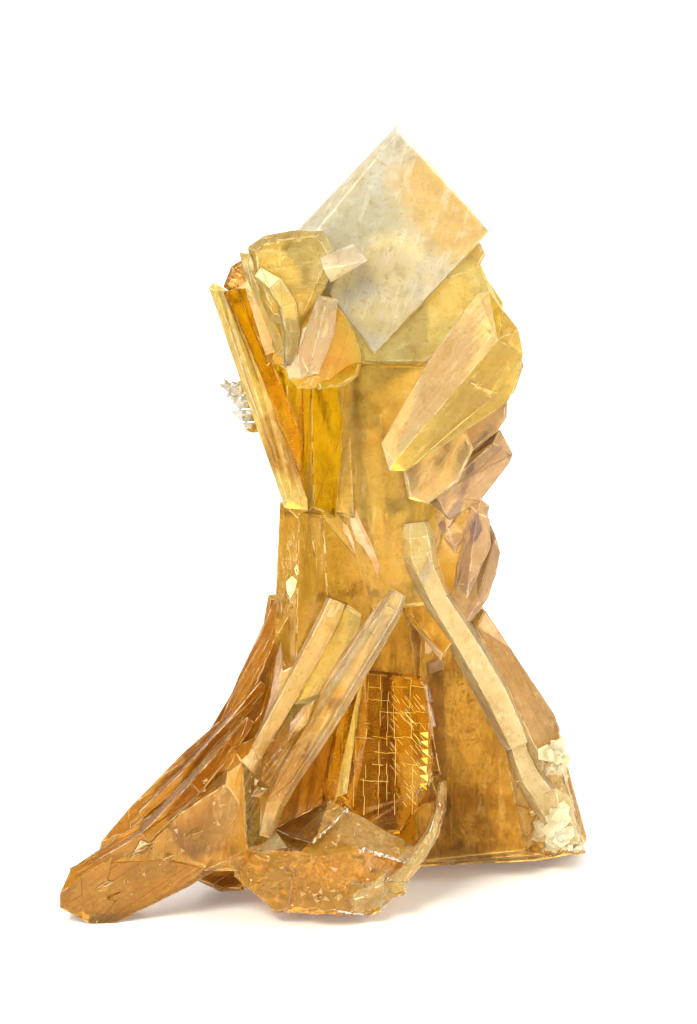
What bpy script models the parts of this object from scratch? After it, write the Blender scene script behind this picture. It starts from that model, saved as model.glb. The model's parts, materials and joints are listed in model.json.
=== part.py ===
"""A golden calcite specimen: one bow-tie shaped cluster of intergrown rhombs, blades and bars.

Everything grew together, so the whole cluster is one solid, a union of single crystals.
Each crystal is drawn in the face frame, in millimetres:
  across  to the right, 0 under the middle of the trunk
  up      along the face of the specimen, 0 at the tip of the left foot
  deep    into the specimen, away from its face
The face leans back by FACE_LEAN, so that the foot, the broken lump in front and the
slab behind all come down to one level, where the cluster was broken off its rock.
"""

import math

import bmesh
import bpy
from mathutils import Matrix, Vector

MM = 0.001
FACE_LEAN = math.radians(15)
NODE = "calcite_cluster"
FLOOR_CUTTER_SIZE = 400.0

# Cross-sections of the bars: shares of the width across, and of the thickness into the cluster.
CHISEL = [(-0.5, 0.30), (-0.26, 0.0), (0.30, 0.05), (0.5, 0.36), (0.36, 1.0), (-0.36, 1.0)]
FLAT_LATH = [(-0.5, 0.18), (-0.36, 0.0), (0.38, 0.02), (0.5, 0.24), (0.42, 1.0), (-0.42, 1.0)]

BACK_CHISEL = [(-0.36, 0.0), (0.36, 0.0), (0.5, 0.62), (0.22, 0.94), (-0.28, 1.0), (-0.5, 0.7)]

for old in list(bpy.data.objects):
    bpy.data.objects.remove(old)

origin = bpy.data.objects.new("specimen_origin", None)
bpy.context.scene.collection.objects.link(origin)
crystals = bpy.data.collections.new("crystals")
bpy.context.scene.collection.children.link(crystals)


def place(across, up, deep):
    """A face-frame point in millimetres as a world point in metres."""
    y = deep * math.cos(FACE_LEAN) + up * math.sin(FACE_LEAN)
    z = up * math.cos(FACE_LEAN) - deep * math.sin(FACE_LEAN)
    return Vector((across, y, z)) * MM


def new_crystal(name, bm):
    bmesh.ops.recalc_face_normals(bm, faces=bm.faces)
    mesh = bpy.data.meshes.new(name)
    bm.to_mesh(mesh)
    bm.free()
    crystal = bpy.data.objects.new(name, mesh)
    crystal.parent = origin
    crystal.hide_render = True
    crystal.display_type = "WIRE"
    crystals.objects.link(crystal)
    return crystal


def hull(name, points):
    """The convex crystal whose corners are these face-frame points."""
    bm = bmesh.new()
    corners = [bm.verts.new(place(*p)) for p in points]
    made = bmesh.ops.convex_hull(bm, input=corners, use_existing_faces=False)
    spare = {v for v in made["geom_interior"] + made["geom_unused"] if isinstance(v, bmesh.types.BMVert)}
    bmesh.ops.delete(bm, geom=list(spare), context="VERTS")
    bmesh.ops.dissolve_limit(
        bm, angle_limit=math.radians(0.5), verts=bm.verts, edges=bm.edges
    )
    return new_crystal(name, bm)


def middle(outline):
    return Vector((sum(p[0] for p in outline), sum(p[1] for p in outline))) / len(outline)


def drawn_in(outline, by):
    """The outline with every corner moved towards the middle by this many millimetres."""
    centre = middle(outline)
    moved = []
    for p in outline:
        arm = Vector(p) - centre
        moved.append(centre + arm * max(0.2, 1 - by / max(arm.length, 0.1)))
    return moved


def tablet(name, outline, deep, thick, tilt=(0.0, 0.0), rim=1.0, back_in=2.0):
    """A flat-faced crystal. tilt is how much deeper the face gets for each mm across and up."""
    centre = middle(outline)

    def face(p):
        return deep + tilt[0] * (p[0] - centre[0]) + tilt[1] * (p[1] - centre[1])

    points = [(p[0], p[1], face(p)) for p in drawn_in(outline, rim)]
    points += [(p[0], p[1], face(p) + rim) for p in outline]
    points += [(p[0], p[1], face(p) + thick) for p in drawn_in(outline, back_in)]
    return hull(name, points)


def roof(name, outline, ridge, ridge_deep, slopes, thick, back_in=2.0):
    """A crystal with two faces that meet in a ridge, and hip faces past the ridge's ends.

    ridge runs from its lower to its upper end; slopes are the fall of the face to its
    left and of the face to its right, in mm for each mm away from the ridge.
    """
    low, high = Vector(ridge[0]), Vector(ridge[1])
    run = high - low

    def face(p):
        along = max(0.0, min(1.0, (Vector(p) - low).dot(run) / run.length_squared))
        away = Vector(p) - (low + run * along)
        slope = slopes[0] if run.x * away.y - run.y * away.x > 0 else slopes[1]
        return ridge_deep[0] * (1 - along) + ridge_deep[1] * along + slope * away.length

    points = [(*low, ridge_deep[0]), (*high, ridge_deep[1])]
    points += [(p[0], p[1], face(p)) for p in outline]
    back = max(point[2] for point in points) + thick
    points += [(p[0], p[1], back) for p in drawn_in(outline, back_in)]
    return hull(name, points)


def bar(name, stations, section=CHISEL):
    """A long crystal drawn through stations (across, up, deep, width, thickness).

    deep is the depth of its front crest. The section is in shares of width and thickness.
    """
    bm = bmesh.new()
    rings = []
    for i, (across, up, deep, width, thick) in enumerate(stations):
        before = Vector(stations[max(0, i - 1)][:2])
        after = Vector(stations[min(len(stations) - 1, i + 1)][:2])
        run = (after - before).normalized()
        side = Vector((-run.y, run.x))
        ring = []
        for share_wide, share_deep in section:
            p = Vector((across, up)) + side * (share_wide * width)
            ring.append(bm.verts.new(place(p.x, p.y, deep + share_deep * thick)))
        rings.append(ring)
    for ring, following in zip(rings, rings[1:]):
        for k in range(len(section)):
            j = (k + 1) % len(section)
            bm.faces.new((ring[k], ring[j], following[j], following[k]))
    bm.faces.new(rings[0])
    bm.faces.new(rings[-1])
    bmesh.ops.triangulate(bm, faces=bm.faces)
    return new_crystal(name, bm)


def summit():
    """The large rhomb on top, the paler rhomb under it and two small shoulders."""
    front = [(9.5, 144.0), (26.0, 126.0), (5.5, 104.0), (-8.5, 122.0)]
    girdle = [(9.5, 145.5), (26.7, 126.2), (5.3, 103.5), (-12.0, 122.8)]
    back = [(8.5, 142.0), (23.5, 125.5), (5.0, 107.0), (-9.5, 121.5)]
    hull(
        "summit_rhomb",
        [(*p, 4.0 + 0.05 * (p[1] - 104)) for p in front]
        + [(*girdle[0], 8.0), (*girdle[1], 7.0), (*girdle[2], 5.0), (*girdle[3], 9.0)]
        + [(*p, 22.0 + 0.05 * (p[1] - 104)) for p in back],
    )
    tablet(
        "under_rhomb",
        [(-5.5, 119.5), (3.0, 102.2), (14.5, 102.0), (19.5, 106.0), (28.0, 113.0), (23.5, 122.5)],
        deep=5.8, thick=20, tilt=(0.08, 0.02), rim=0.5,
    )
    tablet(
        "shoulder_step",
        [(20.0, 127.0), (24.4, 124.4), (25.6, 121.8), (24.0, 118.8), (18.0, 117.0)],
        deep=6.5, thick=14, tilt=(0.2, 0.0), rim=0.6,
    )
    roof(
        "shoulder_back",
        [(19.5, 121.5), (25.2, 118.6), (28.7, 113.5), (29.5, 108.0), (20.0, 105.5)],
        ridge=((24.0, 108.0), (23.0, 118.0)), ridge_deep=(9.0, 10.0), slopes=(0.1, 0.45), thick=12,
    )


def right_blade():
    """The thick wedge that leans out to the right, with its crest towards the viewer."""
    roof(
        "right_blade",
        [(6.5, 87.5), (15.5, 103.0), (21.5, 111.5), (24.0, 114.5), (26.0, 115.0), (28.5, 111.5),
         (31.3, 108.0), (32.2, 103.5), (31.0, 98.5), (29.5, 95.0), (21.5, 90.0), (11.0, 82.5),
         (8.0, 82.5)],
        ridge=((9.0, 84.2), (27.5, 106.0)), ridge_deep=(-4.0, -7.0), slopes=(0.55, 0.75), thick=9,
    )
    hull(
        "right_blade_cap",
        [(22.0, 112.0, 1.0), (25.8, 115.6, 3.0), (28.8, 111.6, 2.0), (26.0, 107.5, -6.0),
         (22.0, 110.0, -2.0), (24.0, 113.0, 12.0), (27.5, 110.0, 12.0)],
    )
    tablet(
        "right_blade_flank",
        [(25.5, 104.5), (31.0, 106.8), (32.4, 101.5), (30.6, 96.5), (26.0, 95.5), (22.0, 98.0)],
        deep=-1.0, thick=14, tilt=(0.75, 0.1), rim=0.8,
    )


def right_crystals():
    """The glassy crystals with notched outlines under the right blade."""
    tablet(
        "brown_step",
        [(18.5, 92.0), (26.5, 95.2), (29.5, 95.2), (29.4, 92.2), (27.6, 89.6), (22.5, 85.5),
         (17.0, 84.0)],
        deep=7.0, thick=18, tilt=(0.2, -0.1), rim=0.5,
    )
    tablet(
        "blush_plate",
        [(10.5, 82.5), (21.5, 90.8), (23.4, 86.5), (20.5, 80.5), (15.0, 76.5), (11.5, 77.5)],
        deep=5.0, thick=15, tilt=(0.1, 0.12), rim=0.5,
    )
    roof(
        "smoky_rhomb",
        [(14.5, 77.5), (17.5, 81.5), (27.5, 89.0), (28.2, 90.2), (30.6, 85.6), (30.0, 84.0),
         (24.5, 77.0), (19.0, 73.5)],
        ridge=((16.5, 78.2), (27.0, 87.6)), ridge_deep=(6.5, 8.5), slopes=(0.9, 0.35), thick=14,
    )
    roof(
        "spear_point",
        [(15.5, 77.5), (22.2, 71.2), (20.0, 67.5), (17.5, 71.0)],
        ridge=((19.8, 69.0), (17.5, 75.5)), ridge_deep=(8.0, 9.5), slopes=(0.5, 0.3), thick=12,
    )
    roof(
        "striated_prism",
        [(20.3, 65.0), (21.8, 70.5), (22.8, 76.2), (24.7, 77.0), (26.0, 74.0), (26.6, 69.0),
         (24.6, 64.5), (22.2, 59.3), (20.4, 62.0)],
        ridge=((22.4, 62.0), (24.0, 75.0)), ridge_deep=(8.5, 7.0), slopes=(0.55, 0.6), thick=14,
    )
    roof(
        "right_flake",
        [(25.3, 75.0), (27.3, 71.2), (28.3, 67.8), (27.6, 63.8), (26.2, 60.4), (23.9, 57.6),
         (22.3, 59.5), (25.4, 66.0), (25.0, 71.0)],
        ridge=((24.4, 60.5), (27.2, 70.0)), ridge_deep=(12.5, 9.5), slopes=(0.9, 0.3), thick=12,
    )
    roof(
        "notch_tooth",
        [(22.6, 79.2), (24.5, 77.6), (26.4, 76.2), (25.9, 73.8), (22.5, 74.0)],
        ridge=((23.6, 75.4), (24.9, 76.6)), ridge_deep=(8.8, 9.8), slopes=(0.4, 0.8), thick=10,
    )


def left_cluster():
    """The crown of pale crystals at the top left, with a flake and a rounded lobe."""
    tablet(
        "crown",
        [(-17.6, 123.0), (-14.6, 125.1), (-9.0, 126.1), (-4.0, 126.0), (-1.5, 122.0),
         (-3.5, 115.5), (-8.0, 108.0), (-13.5, 109.5), (-17.0, 117.5)],
        deep=-2.0, thick=14, tilt=(-0.05, 0.1), rim=1.6,
    )
    roof(
        "crown_left_blade",
        [(-19.2, 122.0), (-17.2, 121.8), (-12.5, 112.0), (-9.5, 103.5), (-12.5, 103.0),
         (-16.2, 112.5)],
        ridge=((-11.0, 105.0), (-17.6, 120.0)), ridge_deep=(0.5, -2.0), slopes=(0.5, 0.35), thick=9,
    )
    hull(
        "flake",
        [(-4.5, 121.0, -2.5), (1.5, 123.6, -1.0), (4.2, 120.5, -3.5), (-2.6, 116.4, -3.0),
         (-4.0, 119.0, -4.5), (0.0, 119.5, -5.0), (-2.0, 120.5, 7.0), (1.0, 119.5, 7.0),
         (-3.0, 117.5, 7.0)],
    )
    bar(
        "draped_band",
        [(-15.8, 118.5, -2.6, 2.6, 7), (-12.6, 116.2, -3.4, 3.6, 7), (-10.2, 112.4, -3.9, 3.8, 7),
         (-9.4, 107.5, -3.8, 3.4, 7), (-9.8, 101.5, -3.0, 2.4, 7)],
        section=FLAT_LATH,
    )
    roof(
        "blush_blade",
        [(-8.4, 104.0), (-4.8, 114.2), (-1.3, 113.4), (-1.8, 107.5), (-4.6, 100.0), (-8.0, 99.0)],
        ridge=((-6.6, 100.5), (-3.2, 113.2)), ridge_deep=(-6.0, -7.6), slopes=(0.5, 0.7), thick=8,
    )
    roof(
        "lobe",
        [(-2.8, 113.2), (0.0, 110.5), (1.7, 107.5), (3.0, 103.5), (2.9, 101.0), (0.4, 98.3),
         (-6.5, 97.2), (-8.6, 97.4), (-10.2, 99.0), (-11.0, 102.5), (-8.0, 108.0)],
        ridge=((-5.6, 99.6), (-1.6, 110.0)), ridge_deep=(-4.6, -4.6), slopes=(0.35, 0.55), thick=8,
    )
    tablet(
        "lobe_foot",
        [(-6.0, 100.5), (3.1, 102.2), (2.6, 99.8), (0.2, 97.9), (-5.0, 97.0)],
        deep=-2.6, thick=9, tilt=(0.1, 0.35), rim=0.7,
    )
    tablet(
        "brown_corner",
        [(-22.1, 115.8), (-20.6, 119.6), (-18.6, 120.8), (-16.0, 117.5), (-17.0, 112.5)],
        deep=1.5, thick=11, tilt=(-0.15, 0.1), rim=0.8,
    )


def left_blade():
    """The long cream-edged blade down the left side and the amber columns beside it."""
    roof(
        "left_blade",
        [(-24.6, 115.6), (-23.6, 116.6), (-21.5, 115.2), (-15.0, 99.5), (-8.0, 81.0),
         (-6.0, 75.2), (-10.9, 75.8), (-12.3, 80.0), (-15.0, 88.0), (-19.3, 100.0),
         (-23.0, 111.5)],
        ridge=((-10.6, 77.5), (-23.2, 115.0)), ridge_deep=(3.5, -3.0), slopes=(0.9, 0.5),
        thick=7, back_in=1.2,
    )
    roof(
        "left_blade_edge",
        [(-22.8, 115.4), (-21.4, 115.0), (-15.0, 97.5), (-11.0, 84.0), (-12.6, 83.0),
         (-17.2, 97.0)],
        ridge=((-12.4, 85.0), (-21.9, 114.6)), ridge_deep=(2.0, -3.6), slopes=(0.6, 1.2),
        thick=6, back_in=0.6,
    )
    tablet(
        "amber_face",
        [(-21.8, 115.0), (-18.8, 115.8), (-13.0, 102.5), (-7.5, 88.0), (-8.0, 82.0),
         (-15.5, 98.0)],
        deep=1.8, thick=12, tilt=(0.1, -0.08), rim=0.4,
    )
    roof(
        "blush_face",
        [(-19.6, 115.4), (-17.4, 117.2), (-14.4, 111.5), (-12.6, 104.0), (-14.0, 101.5)],
        ridge=((-14.4, 103.5), (-18.0, 115.6)), ridge_deep=(0.6, -1.0), slopes=(0.6, 0.3), thick=9,
    )
    roof(
        "left_column",
        [(-16.2, 100.5), (-12.5, 102.0), (-7.6, 101.5), (-6.6, 76.0), (-11.0, 76.5),
         (-13.6, 88.0)],
        ridge=((-9.6, 78.0), (-10.6, 101.0)), ridge_deep=(4.6, 3.6), slopes=(0.3, 0.45), thick=18,
    )
    roof(
        "right_column",
        [(-8.7, 99.6), (-1.3, 98.5), (-0.3, 90.0), (-1.6, 74.0), (-8.0, 74.8)],
        ridge=((-5.6, 76.0), (-6.0, 98.0)), ridge_deep=(5.2, 4.2), slopes=(0.45, 0.3), thick=18,
    )


def small_druse():
    """The few colourless crystals on the outer left edge."""
    for across, up, lean, length in (
        (-20.2, 97.4, 2.2, 4.4),
        (-19.4, 95.0, 1.6, 3.4),
        (-18.8, 92.6, 1.9, 3.2),
        (-17.8, 90.4, 0.9, 2.8),
    ):
        half = length * 0.34
        hull(
            f"druse_{up:.0f}",
            [(across - lean, up + 0.9, 5.5), (across - lean + 0.5, up - 0.2, 4.4),
             (across + half, up + half, 3.6), (across + half, up - half, 4.0),
             (across + length, up + half, 6.0), (across + length, up - half, 9.0),
             (across, up + half, 9.0), (across - 0.3, up - half, 8.0)],
        )


def trunk():
    """The waist of the bow tie: one big golden face with columns each side, on a solid core."""
    tablet(
        "trunk_face",
        [(-1.0, 102.0), (14.5, 102.0), (22.5, 92.0), (19.5, 77.5), (16.0, 66.5), (14.5, 58.0),
         (4.0, 57.0), (0.0, 66.5), (-2.5, 74.5), (-3.5, 86.5)],
        deep=9.0, thick=22, tilt=(0.12, -0.03), rim=0.6,
    )
    tablet(
        "core_upper_left",
        [(-17.0, 114.5), (0.0, 117.5), (2.0, 73.5), (-10.5, 76.5), (-14.5, 95.5)],
        deep=8.0, thick=22, tilt=(0.0, 0.03),
    )
    tablet(
        "core_upper",
        [(-8.0, 119.5), (21.5, 120.5), (27.5, 112.0), (28.3, 93.0), (17.5, 80.0), (-2.5, 84.0)],
        deep=12.0, thick=19, tilt=(0.05, 0.0),
    )
    roof(
        "waist_left_prism",
        [(-11.8, 77.0), (-6.8, 76.0), (-5.2, 66.5), (-3.6, 57.0), (-7.0, 36.0), (-13.0, 35.0),
         (-12.8, 55.5), (-12.2, 60.0), (-11.3, 68.0)],
        ridge=((-9.0, 40.0), (-8.4, 74.0)), ridge_deep=(6.0, 6.0), slopes=(0.45, 0.25), thick=16,
    )
    roof(
        "waist_mid_prism",
        [(-7.6, 75.6), (-2.0, 77.5), (2.0, 67.0), (5.4, 56.5), (0.0, 41.0), (-8.0, 42.5),
         (-6.0, 59.0)],
        ridge=((-2.4, 45.0), (-4.0, 74.0)), ridge_deep=(6.0, 6.8), slopes=(0.25, 0.3), thick=16,
    )
    tablet(
        "waist_right_body",
        [(13.0, 80.0), (24.4, 79.0), (27.3, 71.0), (28.1, 67.5), (27.4, 63.5), (26.2, 59.5),
         (24.2, 56.6), (17.5, 48.0), (11.0, 56.0)],
        deep=12.5, thick=18, tilt=(0.15, 0.0), rim=1.2,
    )
    for name, patch, front, back in (
        ("core_waist", [(-9.0, 80.0), (13.0, 84.0), (17.0, 72.0), (14.0, 56.6), (4.0, 55.7),
                        (-9.4, 56.2)], 14.3, 29.2),
        ("core_behind_bar", [(19.5, 58.5), (24.5, 57.0), (25.1, 51.1), (19.8, 50.2)], 17.6, 29.7),
        ("core_foot", [(-18.0, 27.5), (-12.0, 27.5), (-11.4, 20.4), (-18.2, 20.7)], 4.7, 17.3),
    ):
        hull(name, [(*p, front) for p in patch] + [(*p, back) for p in patch])
    tablet(
        "core_lower",
        [(-14.0, 60.0), (15.0, 62.0), (14.0, 30.0), (11.0, 7.5), (-15.0, 8.5), (-20.0, 26.0)],
        deep=19.0, thick=20, tilt=(0.1, -0.12),
    )


def long_bar():
    """The pale twisted bar that runs from the trunk down the right slab."""
    bar(
        "long_bar",
        [(13.0, 73.2, 5.5, 4.6, 9), (13.3, 70.5, 3.8, 6.0, 11), (13.6, 67.5, 4.0, 6.4, 12),
         (14.7, 64.0, 5.0, 5.6, 13), (17.0, 59.0, 7.0, 5.4, 14), (20.0, 54.3, 9.4, 5.8, 14),
         (23.8, 48.2, 12.4, 6.4, 14), (27.6, 41.4, 15.6, 6.8, 14), (30.8, 34.6, 18.8, 6.0, 13),
         (31.8, 32.2, 20.2, 5.4, 12)],
    )
    bar(
        "long_bar_root",
        [(31.0, 34.6, 20.6, 4.2, 12), (32.0, 31.0, 21.8, 4.8, 12), (33.8, 26.6, 23.4, 5.6, 12),
         (37.0, 22.0, 25.2, 6.4, 11), (40.0, 16.5, 27.0, 6.4, 10), (42.2, 13.6, 28.2, 4.4, 9)],
    )


def slab_face(across, up):
    """The depth of the slab's front, which leans a little back towards its foot."""
    return 31.0 + 0.05 * (across - 25) - 0.16 * (up - 12)


def right_slab():
    """The big triangular slab behind, whose straight lower edge stands on the ground."""
    outline = [(5.0, 68.0), (22.5, 62.0), (26.0, 56.5), (33.5, 44.5), (39.9, 32.5), (42.2, 19.5),
               (44.7, 14.9), (44.2, 12.6), (41.6, 11.8), (35.3, 10.6), (13.0, 9.6), (6.0, 14.0)]
    front = [(p.x, p.y, slab_face(p.x, p.y)) for p in drawn_in(outline, 1.4)]
    girdle = [(*p, slab_face(*p) + 2.2) for p in outline]
    back = [(*p, slab_face(*p) + 14.0) for p in outline]
    hull("right_slab", front + girdle + back)
    roof(
        "slab_shoulder",
        [(20.5, 59.5), (25.6, 57.2), (30.2, 50.2), (33.8, 44.6), (38.4, 38.0), (40.4, 33.0),
         (41.2, 29.0), (36.0, 26.0), (31.0, 36.0), (25.5, 48.0)],
        ridge=((36.5, 29.0), (24.0, 54.0)), ridge_deep=(23.5, 14.5), slopes=(0.9, 0.35), thick=12,
    )
    hull(
        "white_knob",
        [(36.8, 33.6, 23.5), (38.6, 34.6, 25.0), (40.9, 31.2, 26.0), (41.1, 28.2, 27.0),
         (39.8, 26.4, 26.0), (36.6, 26.6, 24.5), (37.4, 29.8, 21.6), (39.2, 29.0, 22.4),
         (39.0, 30.0, 34.0), (38.0, 28.0, 34.0)],
    )
    hull(
        "white_crust",
        [(36.3, 23.6, 25.2), (38.8, 24.4, 25.6), (41.6, 22.4, 27.2), (42.8, 17.0, 28.2),
         (41.6, 14.2, 28.8), (39.0, 14.0, 27.8), (36.8, 17.5, 26.4), (39.2, 20.6, 24.4),
         (40.0, 18.0, 36.0), (38.5, 22.0, 36.0)],
    )
    teeth = [(36.2, 15.8, 2.3), (38.4, 13.6, 2.6), (41.8, 13.6, 2.0), (34.8, 19.2, 1.9),
             (43.0, 12.9, 1.5)]
    for across, up, size in teeth:
        crest = slab_face(across, up) - 1.6
        hull(
            f"crust_tooth_{across:.0f}",
            [(across - size, up - size * 0.6, crest + 1.6),
             (across + size, up - size * 0.5, crest + 1.8),
             (across, up - size * 0.8, crest + 2.0),
             (across - size * 0.5, up + size * 0.6, crest),
             (across + size * 0.7, up + size * 0.9, crest + 0.6),
             (across + 0.2, up + size * 1.7, crest + 1.6), (across, up, crest + 7.0)],
        )
    proud = (
        ("slab_triangle", [(11.3, 54.2), (17.2, 50.2), (15.8, 48.8), (13.6, 49.2)], 2.4),
        ("slab_lath", [(15.2, 47.6), (18.0, 48.8), (18.3, 31.0), (15.0, 30.0)], 1.2),
        ("slab_ledge", [(17.0, 49.8), (25.6, 47.0), (28.6, 38.0), (24.0, 31.0), (19.6, 34.0)], 0.7),
        ("slab_low_ledge", [(14.0, 14.0), (34.0, 15.5), (36.0, 20.0), (30.0, 21.5), (15.0, 19.0)], 0.6),
        ("slab_skirt", [(13.2, 9.9), (35.3, 10.9), (43.2, 12.6), (42.0, 14.2), (13.6, 12.4)], -0.5),
    )
    for name, patch, rise in proud:
        hull(
            name,
            [(p.x, p.y, slab_face(p.x, p.y) - rise) for p in drawn_in(patch, 0.3)]
            + [(*p, slab_face(*p) + 0.3) for p in patch]
            + [(*p, slab_face(*p) + 4.0) for p in patch],
        )


def front_bars():
    """The two blunt bars that cross the front of the waist, and the web between them."""
    bar(
        "left_bar",
        [(-1.4, 59.0, 0.2, 3.8, 11), (-2.6, 56.0, -0.4, 4.4, 12), (-5.6, 50.0, -0.2, 4.2, 12),
         (-9.2, 43.6, 0.4, 4.0, 12), (-12.6, 37.5, 0.6, 3.6, 12), (-16.0, 31.6, 1.0, 3.4, 11),
         (-19.5, 26.5, 2.4, 2.6, 9)],
        section=FLAT_LATH,
    )
    bar(
        "right_bar",
        [(9.7, 60.6, -2.6, 3.2, 13), (8.2, 57.6, -3.6, 4.6, 15), (5.2, 53.0, -3.8, 5.4, 16),
         (1.4, 47.2, -3.4, 6.0, 16), (-2.6, 40.4, -3.0, 6.2, 16), (-6.6, 33.6, -2.4, 5.6, 16),
         (-10.4, 27.6, -1.6, 5.0, 16), (-13.0, 22.4, -0.6, 4.4, 15), (-14.6, 16.4, 1.0, 3.4, 12)],
    )
    tablet(
        "web",
        [(0.5, 58.4), (3.2, 56.6), (2.0, 50.0), (-3.5, 42.0), (-9.5, 38.5), (-6.0, 48.0),
         (-2.0, 56.0)],
        deep=1.4, thick=12, tilt=(0.02, 0.02), rim=0.6,
    )
    tablet(
        "bar_bed",
        [(-11.5, 47.0), (-5.0, 50.0), (-2.5, 44.0), (-6.5, 33.0), (-13.0, 31.0), (-14.5, 37.0)],
        deep=2.2, thick=16, rim=0.8,
    )
    roof(
        "bar_underfold",
        [(-3.0, 43.0), (-1.6, 40.0), (-6.5, 31.5), (-11.5, 26.0), (-16.5, 22.0), (-19.0, 25.5),
         (-15.0, 33.0), (-9.5, 40.5)],
        ridge=((-16.0, 25.0), (-5.0, 40.6)), ridge_deep=(1.6, -1.4), slopes=(0.5, 0.5), thick=12,
    )
    roof(
        "pale_sliver",
        [(-11.7, 53.2), (-10.9, 43.5), (-10.4, 41.0), (-12.4, 37.4), (-16.2, 32.8), (-13.6, 41.5)],
        ridge=((-14.0, 36.0), (-11.5, 49.0)), ridge_deep=(2.2, 4.2), slopes=(0.6, 0.6),
        thick=10, back_in=0.6,
    )
    roof(
        "pale_sliver_low",
        [(-5.4, 41.2), (-6.8, 36.8), (-10.4, 33.6), (-9.8, 37.2), (-7.6, 40.0)],
        ridge=((-9.4, 35.4), (-6.4, 39.8)), ridge_deep=(-3.2, -4.0), slopes=(0.5, 0.5),
        thick=8, back_in=0.6,
    )


def grid_rhomb():
    """The deep amber rhomb with its cleavage cracks, in the hollow under the trunk."""
    tablet(
        "grid_rhomb",
        [(-0.4, 43.2), (1.5, 46.6), (4.0, 46.6), (14.0, 45.3), (15.0, 44.0), (15.6, 36.0),
         (16.6, 30.5), (16.6, 27.5), (15.0, 22.5), (10.0, 16.0), (-2.5, 18.0), (-4.2, 25.5),
         (-1.6, 34.0)],
        deep=9.0, thick=17, tilt=(0.15, -0.06), rim=0.8,
    )
    roof(
        "grid_rhomb_edge",
        [(-4.4, 22.0), (-1.8, 34.0), (-0.6, 43.0), (1.6, 46.9), (3.9, 46.6), (4.2, 36.0),
         (1.5, 20.0)],
        ridge=((0.4, 24.0), (3.4, 45.6)), ridge_deep=(7.2, 7.4), slopes=(0.45, 0.5), thick=10,
    )
    steps = [(15.4, 41.6, 3.4), (15.9, 37.4, 4.4), (16.3, 32.4, 3.6), (17.0, 28.6, 4.6),
             (16.4, 23.8, 3.8)]
    for i, (reach, up, tall) in enumerate(steps):
        corners = [(reach - 3.6, up + tall * 0.3), (reach - 0.4, up + tall * 0.6),
                   (reach + 0.4, up - tall * 0.3), (reach - 2.8, up - tall * 0.6)]
        front = [(*c, 10.4 + 0.3 * (i % 2)) for c in corners]
        back = [(c[0] + 0.4, c[1] - 0.3, 20.0) for c in corners]
        hull(f"grid_rhomb_step_{i}", front + back)


def base_lump():
    """The broken lump in front, where the cluster came off its rock, with its curled rim."""
    hull(
        "lump",
        [(-12.7, 17.6, 3.5), (-2.7, 23.0, 3.0), (0.6, 21.6, 2.0), (6.6, 18.2, 4.5),
         (13.4, 13.6, 8.5), (14.0, 10.4, 11.0), (-4.9, 13.2, -7.5), (2.6, 14.6, -5.5),
         (-10.4, 14.6, -3.0), (-18.0, 13.4, 3.0), (-19.6, 12.0, 4.5), (-20.2, 9.2, 6.0),
         (-19.0, 7.4, 7.0), (-15.6, 5.2, 3.0), (-12.2, 2.2, 2.2), (-9.0, 3.6, -1.5),
         (-1.4, 2.9, -3.5), (4.4, 1.8, 1.8), (8.2, 4.2, 4.5), (10.6, 8.2, 7.0),
         (-14.0, 12.0, 34.0), (10.0, 14.0, 34.0), (-10.0, 5.0, 34.0), (8.0, 5.0, 34.0)],
    )
    hull(
        "lump_left_shelf",
        [(-20.2, 12.0, 3.0), (-20.4, 9.0, 4.0), (-16.0, 5.4, 1.5), (-12.6, 2.4, 1.5),
         (-10.0, 3.4, -1.0), (-9.0, 10.0, -3.6), (-13.0, 14.2, -1.0), (-17.6, 13.8, 1.6),
         (-12.0, 8.0, 12.0), (-18.0, 9.0, 12.0)],
    )
    hull(
        "lump_top_fold",
        [(-12.9, 17.9, 1.5), (-2.8, 23.2, 1.2), (1.0, 21.4, 0.4), (-5.6, 15.4, -6.8),
         (-9.8, 16.4, -3.4), (-3.0, 20.0, 9.0), (-10.0, 15.0, 9.0)],
    )
    hull(
        "lump_right_hollow",
        [(1.0, 21.0, 2.6), (6.8, 18.0, 4.0), (13.0, 14.6, 8.0), (11.4, 11.4, 3.2),
         (3.4, 14.4, -5.0), (-3.6, 13.4, -6.6), (4.0, 12.0, 12.0)],
    )
    bar(
        "curled_rim",
        [(17.6, 26.2, 12.2, 1.6, 5), (17.6, 24.6, 10.0, 2.4, 8), (17.3, 21.0, 8.0, 2.8, 10),
         (15.7, 16.5, 6.0, 3.2, 12), (13.1, 12.6, 4.2, 3.6, 13), (10.0, 9.2, 2.6, 4.0, 13),
         (6.8, 6.6, 1.6, 4.4, 12), (3.4, 4.8, 0.6, 4.4, 11)],
    )
    chips = [(-6.5, 7.5, -3.8), (-2.2, 9.2, -5.2), (1.6, 6.8, -4.2), (5.4, 8.8, -2.0),
             (-0.6, 4.0, -2.6), (4.2, 3.8, 0.0), (-10.8, 6.2, -2.2), (8.6, 6.8, 1.6)]
    for i, (across, up, deep) in enumerate(chips):
        wide = 2.2 + 0.5 * (i % 3)
        lift = 0.5 * (i % 2)
        hull(
            f"lump_chip_{i}",
            [(across - wide, up - 0.6, deep + 0.9), (across + wide, up + 1.4, deep + 0.4 + lift),
             (across + wide * 0.8, up - 1.2, deep + 1.2),
             (across - wide * 0.7, up + 1.6, deep + 0.3),
             (across + wide * 0.1, up - 1.9, deep + 1.4), (across, up, deep + 8.0)],
        )


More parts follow.
